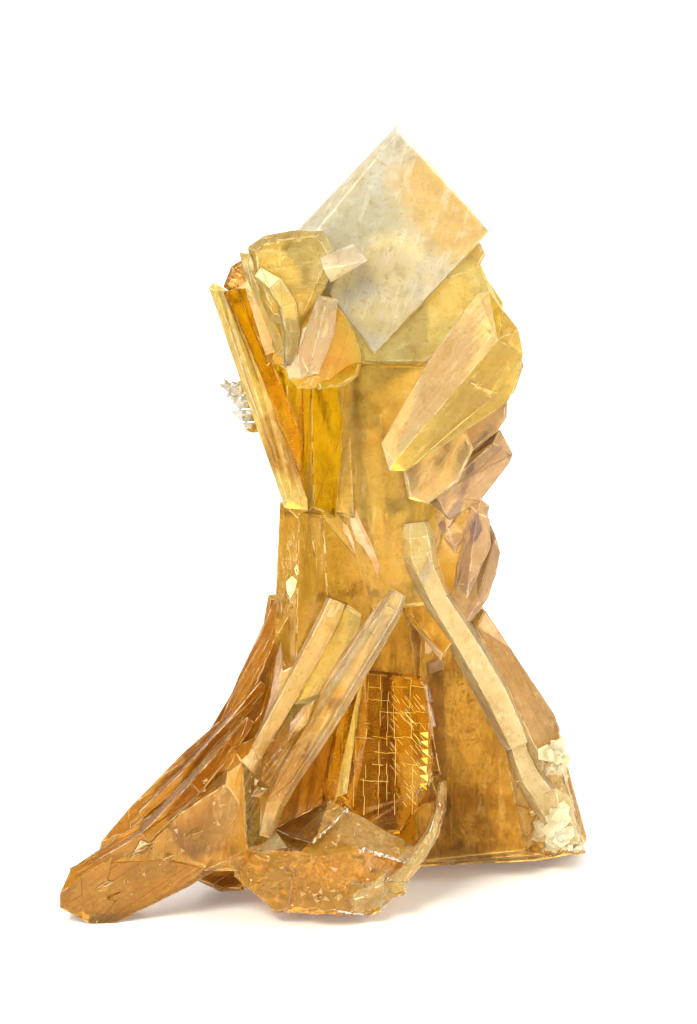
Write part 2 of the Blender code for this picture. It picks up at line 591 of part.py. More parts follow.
def left_foot():
    """The fan of blades that sweeps down to the left and ends in the foot."""
    roof(
        "foot_blade",
        [(-51.6, 6.0), (-51.6, 3.6), (-47.2, 1.2), (-44.0, -0.6), (-36.2, 3.6), (-28.0, 7.4),
         (-21.5, 11.6), (-19.0, 22.5), (-21.0, 30.0), (-36.5, 18.2), (-49.6, 10.6)],
        ridge=((-47.6, 9.2), (-21.5, 26.0)), ridge_deep=(-0.5, -1.5), slopes=(0.6, 0.3), thick=8,
    )
    roof(
        "flank_blade",
        [(-12.6, 59.6), (-9.0, 58.0), (-8.0, 41.0), (-17.0, 28.0), (-24.0, 29.0), (-22.6, 37.2),
         (-19.6, 44.6), (-15.8, 52.0)],
        ridge=((-20.6, 33.0), (-12.8, 52.0)), ridge_deep=(4.2, 5.2), slopes=(0.5, 0.3), thick=10,
    )
    roof(
        "foot_back_blade",
        [(-20.0, 38.0), (-22.8, 37.2), (-29.4, 31.4), (-34.3, 25.7), (-39.2, 21.3), (-44.2, 15.4),
         (-44.8, 13.2), (-35.5, 13.0), (-17.0, 24.0)],
        ridge=((-39.0, 17.4), (-21.0, 33.4)), ridge_deep=(4.6, 4.0), slopes=(0.5, 0.35), thick=10,
    )
    roof(
        "pale_plate",
        [(-20.5, 32.5), (-14.5, 35.0), (-13.4, 24.5), (-14.0, 15.5), (-19.0, 9.8), (-25.5, 10.2),
         (-31.0, 13.5), (-27.5, 23.0)],
        ridge=((-17.6, 14.0), (-18.6, 30.0)), ridge_deep=(0.6, -0.6), slopes=(0.18, 0.5), thick=12,
    )
    bar(
        "foot_crest",
        [(-17.0, 37.5, 2.4, 3.0, 8), (-20.5, 33.0, 0.0, 4.0, 9), (-27.0, 25.4, -1.6, 4.6, 9),
         (-36.0, 16.4, -1.8, 3.8, 8), (-44.0, 11.8, -0.6, 3.0, 7), (-49.6, 9.8, 1.4, 1.8, 5)],
    )
    bar(
        "foot_rib",
        [(-14.6, 44.0, 3.6, 2.2, 8), (-21.0, 36.0, 2.4, 2.8, 8), (-29.0, 27.2, 2.2, 2.8, 8),
         (-37.0, 20.2, 3.4, 2.0, 6)],
        section=FLAT_LATH,
    )
    tablet(
        "foot_back_lip",
        [(-28.0, 8.6), (-22.6, 6.0), (-18.4, 6.2), (-15.0, 10.5), (-24.5, 13.0)],
        deep=9.0, thick=14, tilt=(0.0, 0.1), rim=0.8,
    )
    chips = [(-36.6, 14.6, -2.4, 1.7), (-43.6, 7.6, -0.2, 1.5), (-41.8, 5.8, 0.8, 1.2),
             (-32.0, 12.8, -0.6, 1.1), (-27.2, 17.0, -0.8, 1.4), (-15.6, 24.6, -0.4, 1.5)]
    for across, up, deep, size in chips:
        hull(
            f"foot_chip_{across:.0f}",
            [(across - size, up - size * 0.6, deep + 0.2),
             (across + size * 1.2, up + size * 0.4, deep + 0.1),
             (across - size * 0.2, up + size * 0.8, deep + 0.9),
             (across + size * 0.3, up - size * 0.8, deep + 0.6), (across, up, deep + 4.0)],
        )


def back_roof(name, outline, ridge, ridge_deep, fall, front):
    """A crystal whose ridge points away from the viewer; front is its hidden near side."""
    low, high = Vector(ridge[0]), Vector(ridge[1])
    run = high - low
    points = [(*low, ridge_deep[0]), (*high, ridge_deep[1])]
    for p in outline:
        along = max(0.0, min(1.0, (Vector(p) - low).dot(run) / run.length_squared))
        points.append((*p, ridge_deep[0] * (1 - along) + ridge_deep[1] * along - fall))
        points.append((*p, front))
    hull(name, points)


def back_side():
    """The hidden side: broad crystals fanned up and down from the waist, as they are in front."""
    back_roof("back_left_wing", [(-13.5, 100.0), (-7.0, 116.0), (3.0, 117.0), (2.0, 74.0),
                                 (-7.5, 74.0)],
              ridge=((-2.0, 79.0), (-5.0, 111.0)), ridge_deep=(35.0, 33.0), fall=6.0, front=14.0)
    back_roof("back_middle", [(-1.0, 120.0), (9.0, 124.0), (17.0, 118.0), (15.0, 78.0),
                              (3.0, 72.0)],
              ridge=((8.5, 78.0), (8.0, 117.0)), ridge_deep=(38.0, 35.5), fall=7.0, front=14.0)
    back_roof("back_right_wing", [(15.0, 117.0), (22.0, 117.5), (27.6, 108.0), (27.4, 95.0),
                                  (19.0, 78.0), (11.0, 80.0)],
              ridge=((16.5, 84.0), (22.5, 110.0)), ridge_deep=(34.0, 30.0), fall=7.0, front=14.0)
    back_roof("back_flank", [(-7.0, 60.0), (-13.0, 55.0), (-33.5, 20.5), (-30.0, 14.0),
                             (-19.0, 14.0), (-3.0, 44.0)],
              ridge=((-26.5, 19.0), (-8.5, 52.0)), ridge_deep=(27.0, 33.0), fall=6.0, front=9.0)
    back_roof("back_low_left", [(-8.0, 60.0), (3.0, 62.0), (1.0, 30.0), (-7.0, 8.5), (-18.5, 8.0),
                                (-23.5, 18.0)],
              ridge=((-13.0, 11.0), (-3.5, 52.0)), ridge_deep=(43.0, 36.0), fall=7.5, front=14.0)
    back_roof("back_low_middle", [(-1.0, 62.0), (11.0, 62.0), (14.0, 34.0), (12.5, 10.0),
                                  (-6.0, 8.5), (-5.0, 34.0)],
              ridge=((3.5, 11.0), (5.0, 56.0)), ridge_deep=(49.0, 38.0), fall=8.0, front=14.0)
    back_roof("back_low_right", [(8.0, 61.0), (17.0, 58.0), (29.0, 34.0), (33.0, 13.0),
                                 (14.0, 11.0), (8.0, 30.0)],
              ridge=((22.5, 13.0), (12.5, 54.0)), ridge_deep=(49.5, 36.0), fall=7.5, front=24.0)
    blades = (
        ((-4.0, 60.0), (-24.0, 14.0), 27.0, 31.0, 6.0, 10.0),
        ((1.0, 62.0), (-5.5, 17.0), 30.0, 38.0, 5.0, 11.0),
        ((9.0, 62.0), (15.5, 20.0), 29.0, 38.0, 6.0, 11.0),
        ((1.0, 70.0), (-9.0, 108.0), 22.0, 24.0, 5.0, 11.0),
        ((5.0, 68.0), (2.0, 119.5), 24.0, 22.0, 6.5, 12.0),
        ((12.0, 70.0), (18.0, 113.0), 23.0, 22.0, 6.0, 11.0),
    )
    for i, (root, tip, root_deep, tip_deep, width, thick) in enumerate(blades):
        root, tip = Vector(root), Vector(tip)
        stations = []
        for share, wide, stout in ((0.0, 0.85, 1.0), (0.45, 1.0, 1.0), (0.88, 0.92, 0.9), (1.0, 0.5, 0.55)):
            p = root.lerp(tip, share)
            deep = root_deep + (tip_deep - root_deep) * share + thick * (1 - stout) * 0.4
            stations.append((p.x, p.y, deep, width * wide, thick * stout))
        bar(f"back_blade_{i}", stations, section=BACK_CHISEL)
    tablet(
        "back_rhomb",
        [(2.0, 97.0), (14.0, 104.0), (23.0, 90.0), (10.5, 82.5)],
        deep=24.0, thick=14, tilt=(-0.15, 0.12), rim=0.5, back_in=0.6,
    )


def calcite():
    """Clear golden calcite: hardly rough, and tinted through its depth."""
    material = bpy.data.materials.new("golden_calcite")
    material.use_nodes = True
    surface = material.node_tree.nodes["Principled BSDF"]
    surface.inputs["Base Color"].default_value = (0.86, 0.55, 0.13, 1)
    surface.inputs["Roughness"].default_value = 0.12
    surface.inputs["Metallic"].default_value = 0.0
    surface.inputs["Transmission Weight"].default_value = 0.6
    surface.inputs["IOR"].default_value = 1.6
    return material


def box(name, low, high):
    low, high = Vector(low) * MM, Vector(high) * MM
    bm = bmesh.new()
    bmesh.ops.create_cube(bm, size=1.0)
    bm.transform(Matrix.Translation((low + high) / 2) @ Matrix.Diagonal((*(high - low), 1)))
    mesh = bpy.data.meshes.new(name)
    bm.to_mesh(mesh)
    bm.free()
    return bpy.data.objects.new(name, mesh)


def grow_together():
    """Joins every crystal into one solid and breaks it off flat at the ground."""
    seed = crystals.objects["core_lower"]
    crystals.objects.unlink(seed)
    bpy.context.scene.collection.objects.link(seed)
    seed.name = NODE
    seed.hide_render = False
    seed.display_type = "TEXTURED"
    seed.data.materials.append(calcite())
    join = seed.modifiers.new("grow_together", "BOOLEAN")
    join.operation = "UNION"
    join.operand_type = "COLLECTION"
    join.collection = crystals
    join.solver = "EXACT"

    half = FLOOR_CUTTER_SIZE / 2
    ground = box("ground_cutter", (-half, -half, -half), (half, half, 0.0))
    ground.hide_render = True
    ground.display_type = "WIRE"
    bpy.context.scene.collection.objects.link(ground)
    cut = seed.modifiers.new("break_off", "BOOLEAN")
    cut.operation = "DIFFERENCE"
    cut.object = ground
    cut.solver = "EXACT"
    return seed


def centre_over_base(cluster):
    """Moves the origin empty so that the middle of the cluster's box is over (0, 0)."""
    seen = cluster.evaluated_get(bpy.context.evaluated_depsgraph_get())
    corners = [seen.matrix_world @ Vector(c) for c in seen.bound_box]
    origin.location.x = -(min(c.x for c in corners) + max(c.x for c in corners)) / 2
    origin.location.y = -(min(c.y for c in corners) + max(c.y for c in corners)) / 2


summit()
right_blade()
right_crystals()
left_cluster()
left_blade()
small_druse()
trunk()
long_bar()
right_slab()
front_bars()
grid_rhomb()
base_lump()
left_foot()
back_side()
centre_over_base(grow_together())
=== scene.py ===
# %% [markdown]
# # A golden calcite specimen
# The specimen is one bow-tie shaped cluster of calcite: rhombs, blades and bars that grew
# into each other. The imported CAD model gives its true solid. This script gives it what a
# person sees from a step away: worn edges, growth steps, broken faces, the clear golden
# body, and the veils, flakes and cleavage cracks that shine inside it.

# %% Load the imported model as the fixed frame
import json
import math
import random

import bmesh
import bpy
import numpy as np
from mathutils import Matrix, Vector, noise
from mathutils.bvhtree import BVHTree

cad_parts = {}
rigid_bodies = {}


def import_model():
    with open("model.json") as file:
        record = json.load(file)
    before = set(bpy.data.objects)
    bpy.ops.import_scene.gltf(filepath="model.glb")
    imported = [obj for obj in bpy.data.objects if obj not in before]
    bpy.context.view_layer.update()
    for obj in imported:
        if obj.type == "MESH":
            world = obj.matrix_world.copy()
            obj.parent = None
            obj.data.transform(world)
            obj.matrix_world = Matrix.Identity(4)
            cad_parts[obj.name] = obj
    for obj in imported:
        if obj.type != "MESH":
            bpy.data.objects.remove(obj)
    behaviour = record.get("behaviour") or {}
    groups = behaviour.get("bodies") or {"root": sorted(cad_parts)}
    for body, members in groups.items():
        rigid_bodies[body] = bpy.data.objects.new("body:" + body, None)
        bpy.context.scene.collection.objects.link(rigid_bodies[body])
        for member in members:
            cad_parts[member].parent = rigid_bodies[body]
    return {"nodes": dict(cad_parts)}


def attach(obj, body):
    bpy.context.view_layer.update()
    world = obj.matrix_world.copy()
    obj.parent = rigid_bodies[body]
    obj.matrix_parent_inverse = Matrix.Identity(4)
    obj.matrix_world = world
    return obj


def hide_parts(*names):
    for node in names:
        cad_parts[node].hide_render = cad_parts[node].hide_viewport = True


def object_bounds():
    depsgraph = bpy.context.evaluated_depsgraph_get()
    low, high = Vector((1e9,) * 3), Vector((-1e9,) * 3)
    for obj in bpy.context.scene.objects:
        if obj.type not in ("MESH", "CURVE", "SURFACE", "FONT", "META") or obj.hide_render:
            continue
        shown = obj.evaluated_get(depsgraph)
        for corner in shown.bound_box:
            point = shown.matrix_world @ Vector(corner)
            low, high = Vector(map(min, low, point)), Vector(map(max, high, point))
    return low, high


for spare in list(bpy.data.objects):
    bpy.data.objects.remove(spare)
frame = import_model()
cad_low, cad_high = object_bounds()
scene = bpy.context.scene
MM = 0.001
print("CAD box in mm:", [round(c / MM, 2) for c in cad_high - cad_low])

# %% [markdown]
# ## The face frame
# The specimen leans back by 15 degrees where it stands. Its face is easier to describe in
# its own frame, in millimetres: across to the right, up along the face, and deep into the
# specimen. Small functions go from one frame to the other. Colours are written as sRGB
# hex values and turned to the linear values that the shader needs by one function.

# %% Frames and colours
FACE_LEAN = math.radians(15)
COS_LEAN, SIN_LEAN = math.cos(FACE_LEAN), math.sin(FACE_LEAN)
# where the face frame's origin stands in the model, in mm
SHIFT_ACROSS, SHIFT_BACK = 3.45, -30.37
# a place on the trunk, across, up and deep, that the cells below try their tools on
ON_TRUNK = (5, 80, 9)


def place(across, up, deep):
    """A face-frame point in millimetres as a point of the model in metres."""
    y = deep * COS_LEAN + up * SIN_LEAN + SHIFT_BACK
    z = up * COS_LEAN - deep * SIN_LEAN
    return Vector((across + SHIFT_ACROSS, y, z)) * MM


def in_face(p):
    """A point of the model in metres as across, up and deep in millimetres."""
    y, z = p.y / MM - SHIFT_BACK, p.z / MM
    return (
        p.x / MM - SHIFT_ACROSS,
        z * COS_LEAN + y * SIN_LEAN,
        y * COS_LEAN - z * SIN_LEAN,
    )


def face_direction(across, up, deep=0.0):
    """A face-frame direction as a unit direction of the model."""
    y = deep * COS_LEAN + up * SIN_LEAN
    return Vector((across, y, up * COS_LEAN - deep * SIN_LEAN)).normalized()


def linear(hex_code):
    """An sRGB hex colour as linear red, green, blue and 1."""
    shares = [int(hex_code[i : i + 2], 16) / 255 for i in (1, 3, 5)]
    return [s / 12.92 if s <= 0.04045 else ((s + 0.055) / 1.055) ** 2.4 for s in shares] + [1.0]


TO_VIEWER = face_direction(0, 0, -1)
print("a point on the trunk:", [round(c / MM, 1) for c in place(*ON_TRUNK)])

# %% [markdown]
# ## Which crystal a face belongs to
# All crystals share one body, but each has its own tint, cloudiness and direction of
# growth. The list below goes from the nearest crystal to the farthest. A long bar is a line
# with a reach to each side, and any other crystal is its outline, both in the face frame. A
# face of the body belongs to the first crystal that its middle lies in. Painting by crystal
# was chosen over one even colour because the specimen's colour steps at crystal borders.

# %% Finishes of the crystals
# name: tint, milkiness 0 to 1, fibres 0 to 1, brown stain 0 to 1, growth step in mm
FINISHES = {
    "summit": ("#d2d1c9", 0.94, 0.22, 0.0, 0.0),
    "under_summit": ("#d9cd90", 0.66, 0.15, 0.0, 0.0),
    "crown": ("#c9b46a", 0.52, 0.15, 0.05, 3.0),
    "flake": ("#f8dece", 0.90, 0.10, 0.0, 0.0),
    "band": ("#d3cc95", 0.46, 0.20, 0.0, 2.2),
    "blush": ("#f8deb3", 0.50, 0.22, 0.0, 3.0),
    "lobe": ("#fdcb3c", 0.50, 0.12, 0.0, 3.0),
    "cream_edge": ("#f8de81", 0.46, 0.45, 0.0, 1.3),
    "amber": ("#c57d00", 0.24, 0.18, 0.0, 3.0),
    "column": ("#c9a101", 0.26, 0.22, 0.05, 3.2),
    "druse": ("#f6f2e6", 0.75, 0.05, 0.0, 0.0),
    "trunk": ("#dabb68", 0.62, 0.06, 0.06, 0.0),
    "waist": ("#b08a34", 0.42, 0.22, 0.06, 3.6),
    "blade_face": ("#f4dfb1", 0.50, 0.40, 0.0, 2.2),
    "blade_flank": ("#e6cb5a", 0.40, 0.25, 0.0, 2.6),
    # painted sheen: this grey-violet tint stands for the room mirrored by the rhombs on the right
    "smoky": ("#b0989d", 0.36, 0.28, 0.05, 2.2),
    "pale_bar": ("#d3c5a2", 0.74, 0.25, 0.0, 2.4),
    "slab_edge": ("#a5856b", 0.45, 0.30, 0.05, 1.8),
    "slab": ("#d4a04b", 0.46, 0.20, 0.65, 6.0),
    "crust": ("#eadab8", 0.85, 0.05, 0.0, 1.6),
    "bar_tip": ("#f6e2a4", 0.66, 0.30, 0.0, 1.4),
    "cream_bar": ("#edd5a4", 0.46, 0.40, 0.0, 1.1),
    "golden_bar": ("#726339", 0.38, 0.45, 0.03, 1.1),
    "cavity": ("#8f5007", 0.24, 0.15, 0.10, 2.4),
    "web": ("#f7f0b3", 0.34, 0.25, 0.0, 2.2),
    "grid": ("#b26e01", 0.16, 0.10, 0.10, 0.0),
    "lump": ("#e5a73b", 0.46, 0.08, 0.06, 2.6),
    "rim": ("#ffd28c", 0.58, 0.10, 0.0, 1.4),
    "foot": ("#a96a14", 0.40, 0.45, 0.12, 1.5),
    "foot_plate": ("#e4ab4e", 0.42, 0.35, 0.08, 1.8),
    "flank": ("#a56915", 0.36, 0.45, 0.10, 1.5),
    "sliver": ("#f7dac9", 0.58, 0.20, 0.0, 1.6),
    "back": ("#d8a648", 0.34, 0.12, 0.08, 0.0),
}
FINISH_NAMES = sorted(FINISHES)

# name, finish, the bar's line, reach to each side
BARS = [
    ("curled_rim", "rim", [(17.6, 26.2), (17.3, 21.0), (15.7, 16.5), (13.1, 12.6), (10.0, 9.2),
                           (6.8, 6.6), (3.4, 4.8)], 2.3),
    ("right_bar_top", "cream_bar", [(9.7, 60.6), (8.2, 57.6), (5.2, 53.0), (1.4, 47.2)], 3.0),
    ("right_bar", "cream_bar", [(1.4, 47.2), (-2.6, 40.4), (-6.6, 33.6), (-10.4, 27.6),
                                 (-13.0, 22.4), (-14.6, 16.4)], 3.1),
    ("left_bar", "cream_bar", [(-1.4, 59.0), (-2.6, 56.0), (-5.6, 50.0), (-9.2, 43.6)], 2.3),
    ("left_bar_low", "cream_bar", [(-9.2, 43.6), (-12.6, 37.5), (-16.0, 31.6), (-19.5, 26.5)], 2.0),
    ("long_bar_tip", "bar_tip", [(13.0, 73.2), (13.6, 67.5), (14.7, 64.0), (17.0, 59.0)], 3.3),
    ("long_bar", "pale_bar", [(17.0, 59.0), (20.0, 54.3),
                              (23.8, 48.2), (27.6, 41.4), (30.8, 34.6), (31.8, 32.2)], 3.4),
    ("long_bar_root", "pale_bar", [(31.0, 34.6), (32.0, 31.0), (33.8, 26.6), (37.0, 22.0),
                                   (40.0, 16.5), (42.2, 13.6)], 3.2),
    ("draped_band", "band", [(-15.8, 118.5), (-12.6, 116.2), (-10.2, 112.4), (-9.4, 107.5),
                             (-9.8, 101.5)], 2.0),
    ("foot_crest", "foot", [(-17.0, 37.5), (-20.5, 33.0), (-27.0, 25.4), (-36.0, 16.4),
                            (-44.0, 11.8), (-49.6, 9.8)], 2.3),
    ("foot_rib", "foot", [(-14.6, 44.0), (-21.0, 36.0), (-29.0, 27.2), (-37.0, 20.2)], 1.5),
]
print(len(FINISHES), "finishes,", len(BARS), "bars")

# %% Outlines of the other crystals, nearest first
# name, finish, outline, direction of growth across and up
OUTLINES = [
    ("flake", "flake", [(-4.5, 121.0), (1.5, 123.6), (4.2, 120.5), (-2.6, 116.4)], (1.0, 0.2)),
    ("blush_blade", "blush", [(-8.4, 104.0), (-4.8, 114.2), (-1.3, 113.4), (-1.8, 107.5),
                              (-4.6, 100.0), (-8.0, 99.0)], (0.3, 1.0)),
    ("lobe", "lobe", [(-2.8, 113.2), (0.0, 110.5), (1.7, 107.5), (3.0, 103.5), (3.1, 101.0),
                      (0.4, 97.6), (-6.5, 96.8), (-10.2, 98.0), (-11.0, 102.5), (-8.0, 108.0)],
     (0.3, 1.0)),
    ("crown_left", "crown", [(-19.2, 122.0), (-17.2, 121.8), (-12.5, 112.0), (-9.5, 103.5),
                             (-12.5, 103.0), (-16.2, 112.5)], (-0.4, 1.0)),
    ("crown", "crown", [(-17.6, 123.0), (-14.6, 125.1), (-9.0, 126.1), (-4.0, 126.0),
                        (-1.5, 122.0), (-3.5, 115.5), (-8.0, 108.0), (-13.5, 109.5)], (1.0, 0.1)),
    ("amber_face", "amber", [(-21.9, 115.4), (-18.8, 115.8), (-13.0, 102.5), (-7.5, 88.0),
                             (-8.0, 82.0), (-15.7, 98.0)], (-0.4, 1.0)),
    ("left_edge", "cream_edge", [(-22.8, 115.8), (-21.2, 115.0), (-15.0, 97.5), (-11.0, 84.0),
                                 (-12.8, 83.0), (-17.2, 97.0)], (-0.35, 1.0)),
    ("left_blade", "cream_edge", [(-25.0, 116.0), (-23.6, 117.0), (-21.5, 115.2), (-15.0, 99.5),
                                  (-8.0, 81.0), (-6.0, 75.0), (-11.1, 75.6), (-19.5, 100.0)],
     (-0.35, 1.0)),
    ("blush_face", "blush", [(-19.6, 115.4), (-17.4, 117.2), (-14.4, 111.5), (-12.6, 104.0),
                             (-14.0, 101.5)], (-0.4, 1.0)),
    ("brown_corner", "amber", [(-22.4, 115.8), (-20.6, 119.8), (-18.4, 121.0), (-16.0, 117.5),
                               (-17.0, 112.5)], (-0.4, 1.0)),
    ("left_column", "column", [(-16.2, 100.5), (-12.5, 102.0), (-7.6, 101.5), (-6.6, 76.0),
                               (-11.0, 76.5), (-13.6, 88.0)], (0.05, 1.0)),
    ("right_column", "column", [(-8.7, 99.6), (-1.3, 98.5), (-0.3, 90.0), (-1.6, 74.0),
                                (-8.0, 74.8)], (-0.02, 1.0)),
    ("druse", "druse", [(-23.5, 99.5), (-18.8, 99.5), (-15.6, 91.0), (-20.0, 89.0)], (-1.0, 0.4)),
    ("blade_face", "blade_face", [(6.0, 88.0), (15.0, 103.5), (21.5, 112.0), (25.0, 114.0),
                                  (27.8, 106.5), (9.0, 83.8), (6.0, 82.0)], (0.66, 0.75)),
    ("blade_flank", "blade_flank", [(7.5, 84.0), (27.5, 106.0), (26.0, 116.0), (33.0, 108.0),
                                    (33.0, 101.0), (30.0, 95.0), (21.5, 89.5), (11.0, 82.0)],
     (0.66, 0.75)),
    ("blush_plate", "blush", [(10.5, 82.5), (21.5, 90.8), (23.4, 86.5), (20.5, 80.5),
                              (15.0, 76.5), (11.5, 77.5)], (0.6, 0.8)),
    ("smoky_rhomb", "smoky", [(14.5, 77.5), (17.5, 81.5), (28.4, 90.4), (31.0, 85.6),
                              (24.5, 77.0), (19.0, 73.5)], (0.75, 0.66)),
    ("brown_step", "smoky", [(18.5, 92.0), (26.5, 95.4), (29.8, 95.4), (29.6, 92.2),
                             (22.5, 85.5), (17.0, 84.0)], (0.8, 0.5)),
    ("spear_point", "smoky", [(15.5, 77.5), (22.4, 71.4), (20.0, 67.0), (17.5, 71.0)], (-0.5, 1.0)),
    ("right_prisms", "smoky", [(20.0, 65.0), (21.8, 70.5), (22.4, 79.6), (26.8, 76.4),
                               (28.6, 67.8), (26.2, 60.0), (23.9, 57.2), (20.4, 61.0)], (0.25, 1.0)),
    ("trunk_face", "trunk", [(-1.0, 102.2), (14.5, 102.2), (22.5, 92.0), (19.5, 77.5),
                             (16.0, 66.5), (14.5, 57.5), (4.0, 56.5), (0.0, 66.5), (-2.5, 74.5)],
     (0.1, 1.0)),
    ("summit", "summit", [(9.5, 146.0), (27.5, 126.2), (5.3, 103.0), (-13.0, 122.8)], (0.32, 1.0)),
    ("under_summit", "under_summit", [(-6.0, 120.0), (3.0, 101.5), (14.5, 101.5), (20.0, 104.5),
                                      (30.0, 108.0), (28.0, 118.0), (24.0, 128.0)], (0.9, 0.3)),
    ("pale_sliver", "sliver", [(-11.5, 53.5), (-10.4, 41.0), (-12.4, 37.2), (-16.6, 32.4),
                               (-13.8, 41.5)], (0.35, 1.0)),
    ("low_sliver", "sliver", [(-5.4, 41.4), (-6.8, 36.6), (-10.6, 33.4), (-9.8, 37.4)], (0.6, 0.8)),
    ("web", "web", [(0.5, 58.6), (3.4, 56.6), (2.0, 50.0), (-3.5, 42.0), (-9.5, 38.5),
                    (-6.0, 48.0)], (0.5, 0.9)),
    ("fold", "golden_bar", [(-3.0, 43.0), (-1.6, 40.0), (-11.5, 26.0), (-17.0, 21.5),
                            (-19.4, 25.5), (-9.5, 40.8)], (0.6, 0.8)),
    ("cavity", "cavity", [(-17.0, 21.5), (-9.5, 40.8), (-3.0, 43.0), (1.5, 47.0), (-0.5, 32.0),
                          (-4.4, 18.0), (-8.0, 14.0), (-15.0, 14.0)], (0.2, 1.0)),
    ("waist", "waist", [(-12.2, 77.2), (-1.6, 77.8), (2.2, 67.0), (5.6, 56.0), (0.0, 46.0),
                        (-9.0, 47.0), (-13.4, 55.0)], (-0.1, 1.0)),
    ("crust", "crust", [(36.4, 34.8), (40.0, 34.8), (42.0, 27.0), (41.9, 23.4), (43.3, 17.0),
                        (45.0, 12.6), (34.0, 12.4), (33.4, 18.0), (36.0, 24.0), (36.4, 27.0)],
     (0.3, 1.0)),
    ("slab_edge", "slab_edge", [(20.2, 59.8), (25.8, 57.4), (38.6, 38.2), (41.4, 29.0),
                                (36.0, 25.6), (31.0, 36.0), (25.5, 48.0)], (-0.5, 1.0)),
    ("slab_triangle", "sliver", [(11.0, 54.5), (17.4, 50.3), (15.8, 48.5), (13.5, 49.0)], (0.8, -0.5)),
    ("slab_lath", "sliver", [(15.0, 48.0), (18.1, 49.0), (18.4, 37.0), (15.0, 37.0)], (0.0, 1.0)),
    ("lump", "lump", [(-21.0, 9.0), (-18.0, 14.2), (-14.5, 19.0), (-8.5, 23.5), (-2.7, 24.6), (6.8, 18.6),
                      (14.4, 14.0), (9.0, 1.0), (-12.2, 1.0)], (0.8, 0.4)),
    ("grid_edge", "web", [(-4.6, 21.5), (-2.0, 34.0), (-0.8, 43.2), (1.6, 47.2), (2.6, 44.0),
                          (1.2, 32.0), (-1.0, 20.0)], (0.2, 1.0)),
    ("grid", "grid", [(-4.4, 18.0), (1.5, 47.0), (14.2, 45.6), (17.0, 30.5), (17.6, 24.0),
                      (15.0, 15.0)], (0.05, 1.0)),
    ("foot_plate", "foot_plate", [(-20.5, 33.0), (-14.0, 35.5), (-13.2, 24.5), (-13.8, 15.0),
                                  (-19.0, 9.0), (-31.4, 13.5), (-27.5, 23.0)], (0.1, 1.0)),
    ("flank", "flank", [(-13.0, 60.2), (-8.8, 58.0), (-8.0, 41.0), (-17.0, 28.0), (-26.0, 27.0),
                        (-24.0, 37.2), (-16.0, 52.5)], (0.5, 0.9)),
    ("foot", "foot", [(-52.0, 8.0), (-45.0, -1.0), (-14.0, 4.0), (-14.0, 36.0), (-24.0, 38.0),
                      (-45.0, 16.0)], (0.82, 0.57)),
    ("slab", "slab", [(4.0, 62.0), (21.0, 63.0), (26.5, 56.5), (40.5, 32.5), (45.2, 14.9),
                      (44.2, 9.0), (4.0, 8.0)], (0.02, 1.0)),
]
WAIST = Vector((2.0, 66.0))
print(len(OUTLINES), "outlines")

# %% [markdown]
# ## Finding the crystal of a face
# A point lies in an outline if a line from it crosses the outline an odd number of times.
# For a bar, the distance to its line decides. Faces that look away from the viewer, or lie
# far behind, belong to the hidden fan of broad crystals, which grow away from the waist.
# Only the summit and the flank of the big blade run right through to the back.

# %% Tell whether a point lies in an outline or near a line


def inside_outline(p, outline):
    """Whether a line from p to the right crosses the outline an odd number of times."""
    crossings = 0
    for a, b in zip(outline, outline[1:] + outline[:1]):
        if (a[1] > p[1]) != (b[1] > p[1]):
            at = a[0] + (p[1] - a[1]) / (b[1] - a[1]) * (b[0] - a[0])
            crossings += p[0] < at
    return crossings % 2 == 1


def nearest_on_line(p, line):
    """Distance from p to the line of points, and the direction of its nearest stretch."""
    best, way = 1e9, (0, 1)
    point = Vector(p)
    for a, b in zip(line, line[1:]):
        a, b = Vector(a), Vector(b)
        share = max(0.0, min(1.0, (point - a).dot(b - a) / (b - a).length_squared))
        away = (point - a.lerp(b, share)).length
        if away < best:
            best, way = away, tuple(b - a)
    return best, way


# %% Look up the crystal
# In mm of the face frame. What is deeper than DEEP_SIDE lies behind, but for the slab, which
# lies right of SLAB_LEFT, below SLAB_TOP and deeper than SLAB_DEEP. BAR_DEEP is how deep a
# bar reaches. Faces seen edge-on, down to EDGE_ON, count as seen, and within WAIST_REACH
# of the waist the hidden crystals simply stand upright.
DEEP_SIDE = 21.0
SLAB_LEFT, SLAB_TOP, SLAB_DEEP = 10.0, 62.0, 13.0
ANY_DEPTH = 99.0
BAR_DEEP = {"cream_bar": 9.0, "bar_tip": 28.5, "pale_bar": 28.5}
EDGE_ON = -0.15
WAIST_REACH = 4.0
BACK_PLATES = ("summit", "under_summit", "blade_flank")


def crystal_at(across, up, deep, facing):
    """Finish and direction of growth at a face-frame point. facing is 1 towards the viewer."""
    here = (across, up)
    slab_like = across > SLAB_LEFT and up < SLAB_TOP and deep > SLAB_DEEP
    if facing > EDGE_ON and (deep < DEEP_SIDE or slab_like):
        for _, finish, line, reach in BARS:
            away, way = nearest_on_line(here, line)
            if away < reach and deep < BAR_DEEP.get(finish, SLAB_DEEP if slab_like else ANY_DEPTH):
                return finish, way
        for _, finish, outline, way in OUTLINES:
            if inside_outline(here, outline):
                return finish, way
    for name, finish, outline, way in OUTLINES:
        if name in BACK_PLATES and inside_outline(here, outline):
            return finish, way
    away = Vector(here) - WAIST
    return "back", tuple(away.normalized()) if away.length > WAIST_REACH else (0.0, 1.0)


print("crystal at the middle of the face:", crystal_at(*ON_TRUNK, 1))

# %% [markdown]
# ## The body
# The CAD node arrives as loose triangles, so a copy of it is merged, and its flat faces are
# put back together. A real crystal is never a clean block: its faces carry growth steps,
# its edges are worn and nicked, and its broken places are small tilted facets. All three
# are cut into the mesh itself, because bump alone would vanish in the exported mesh and
# along the edges. A long bar bends by small angles, so its flat faces are joined further.

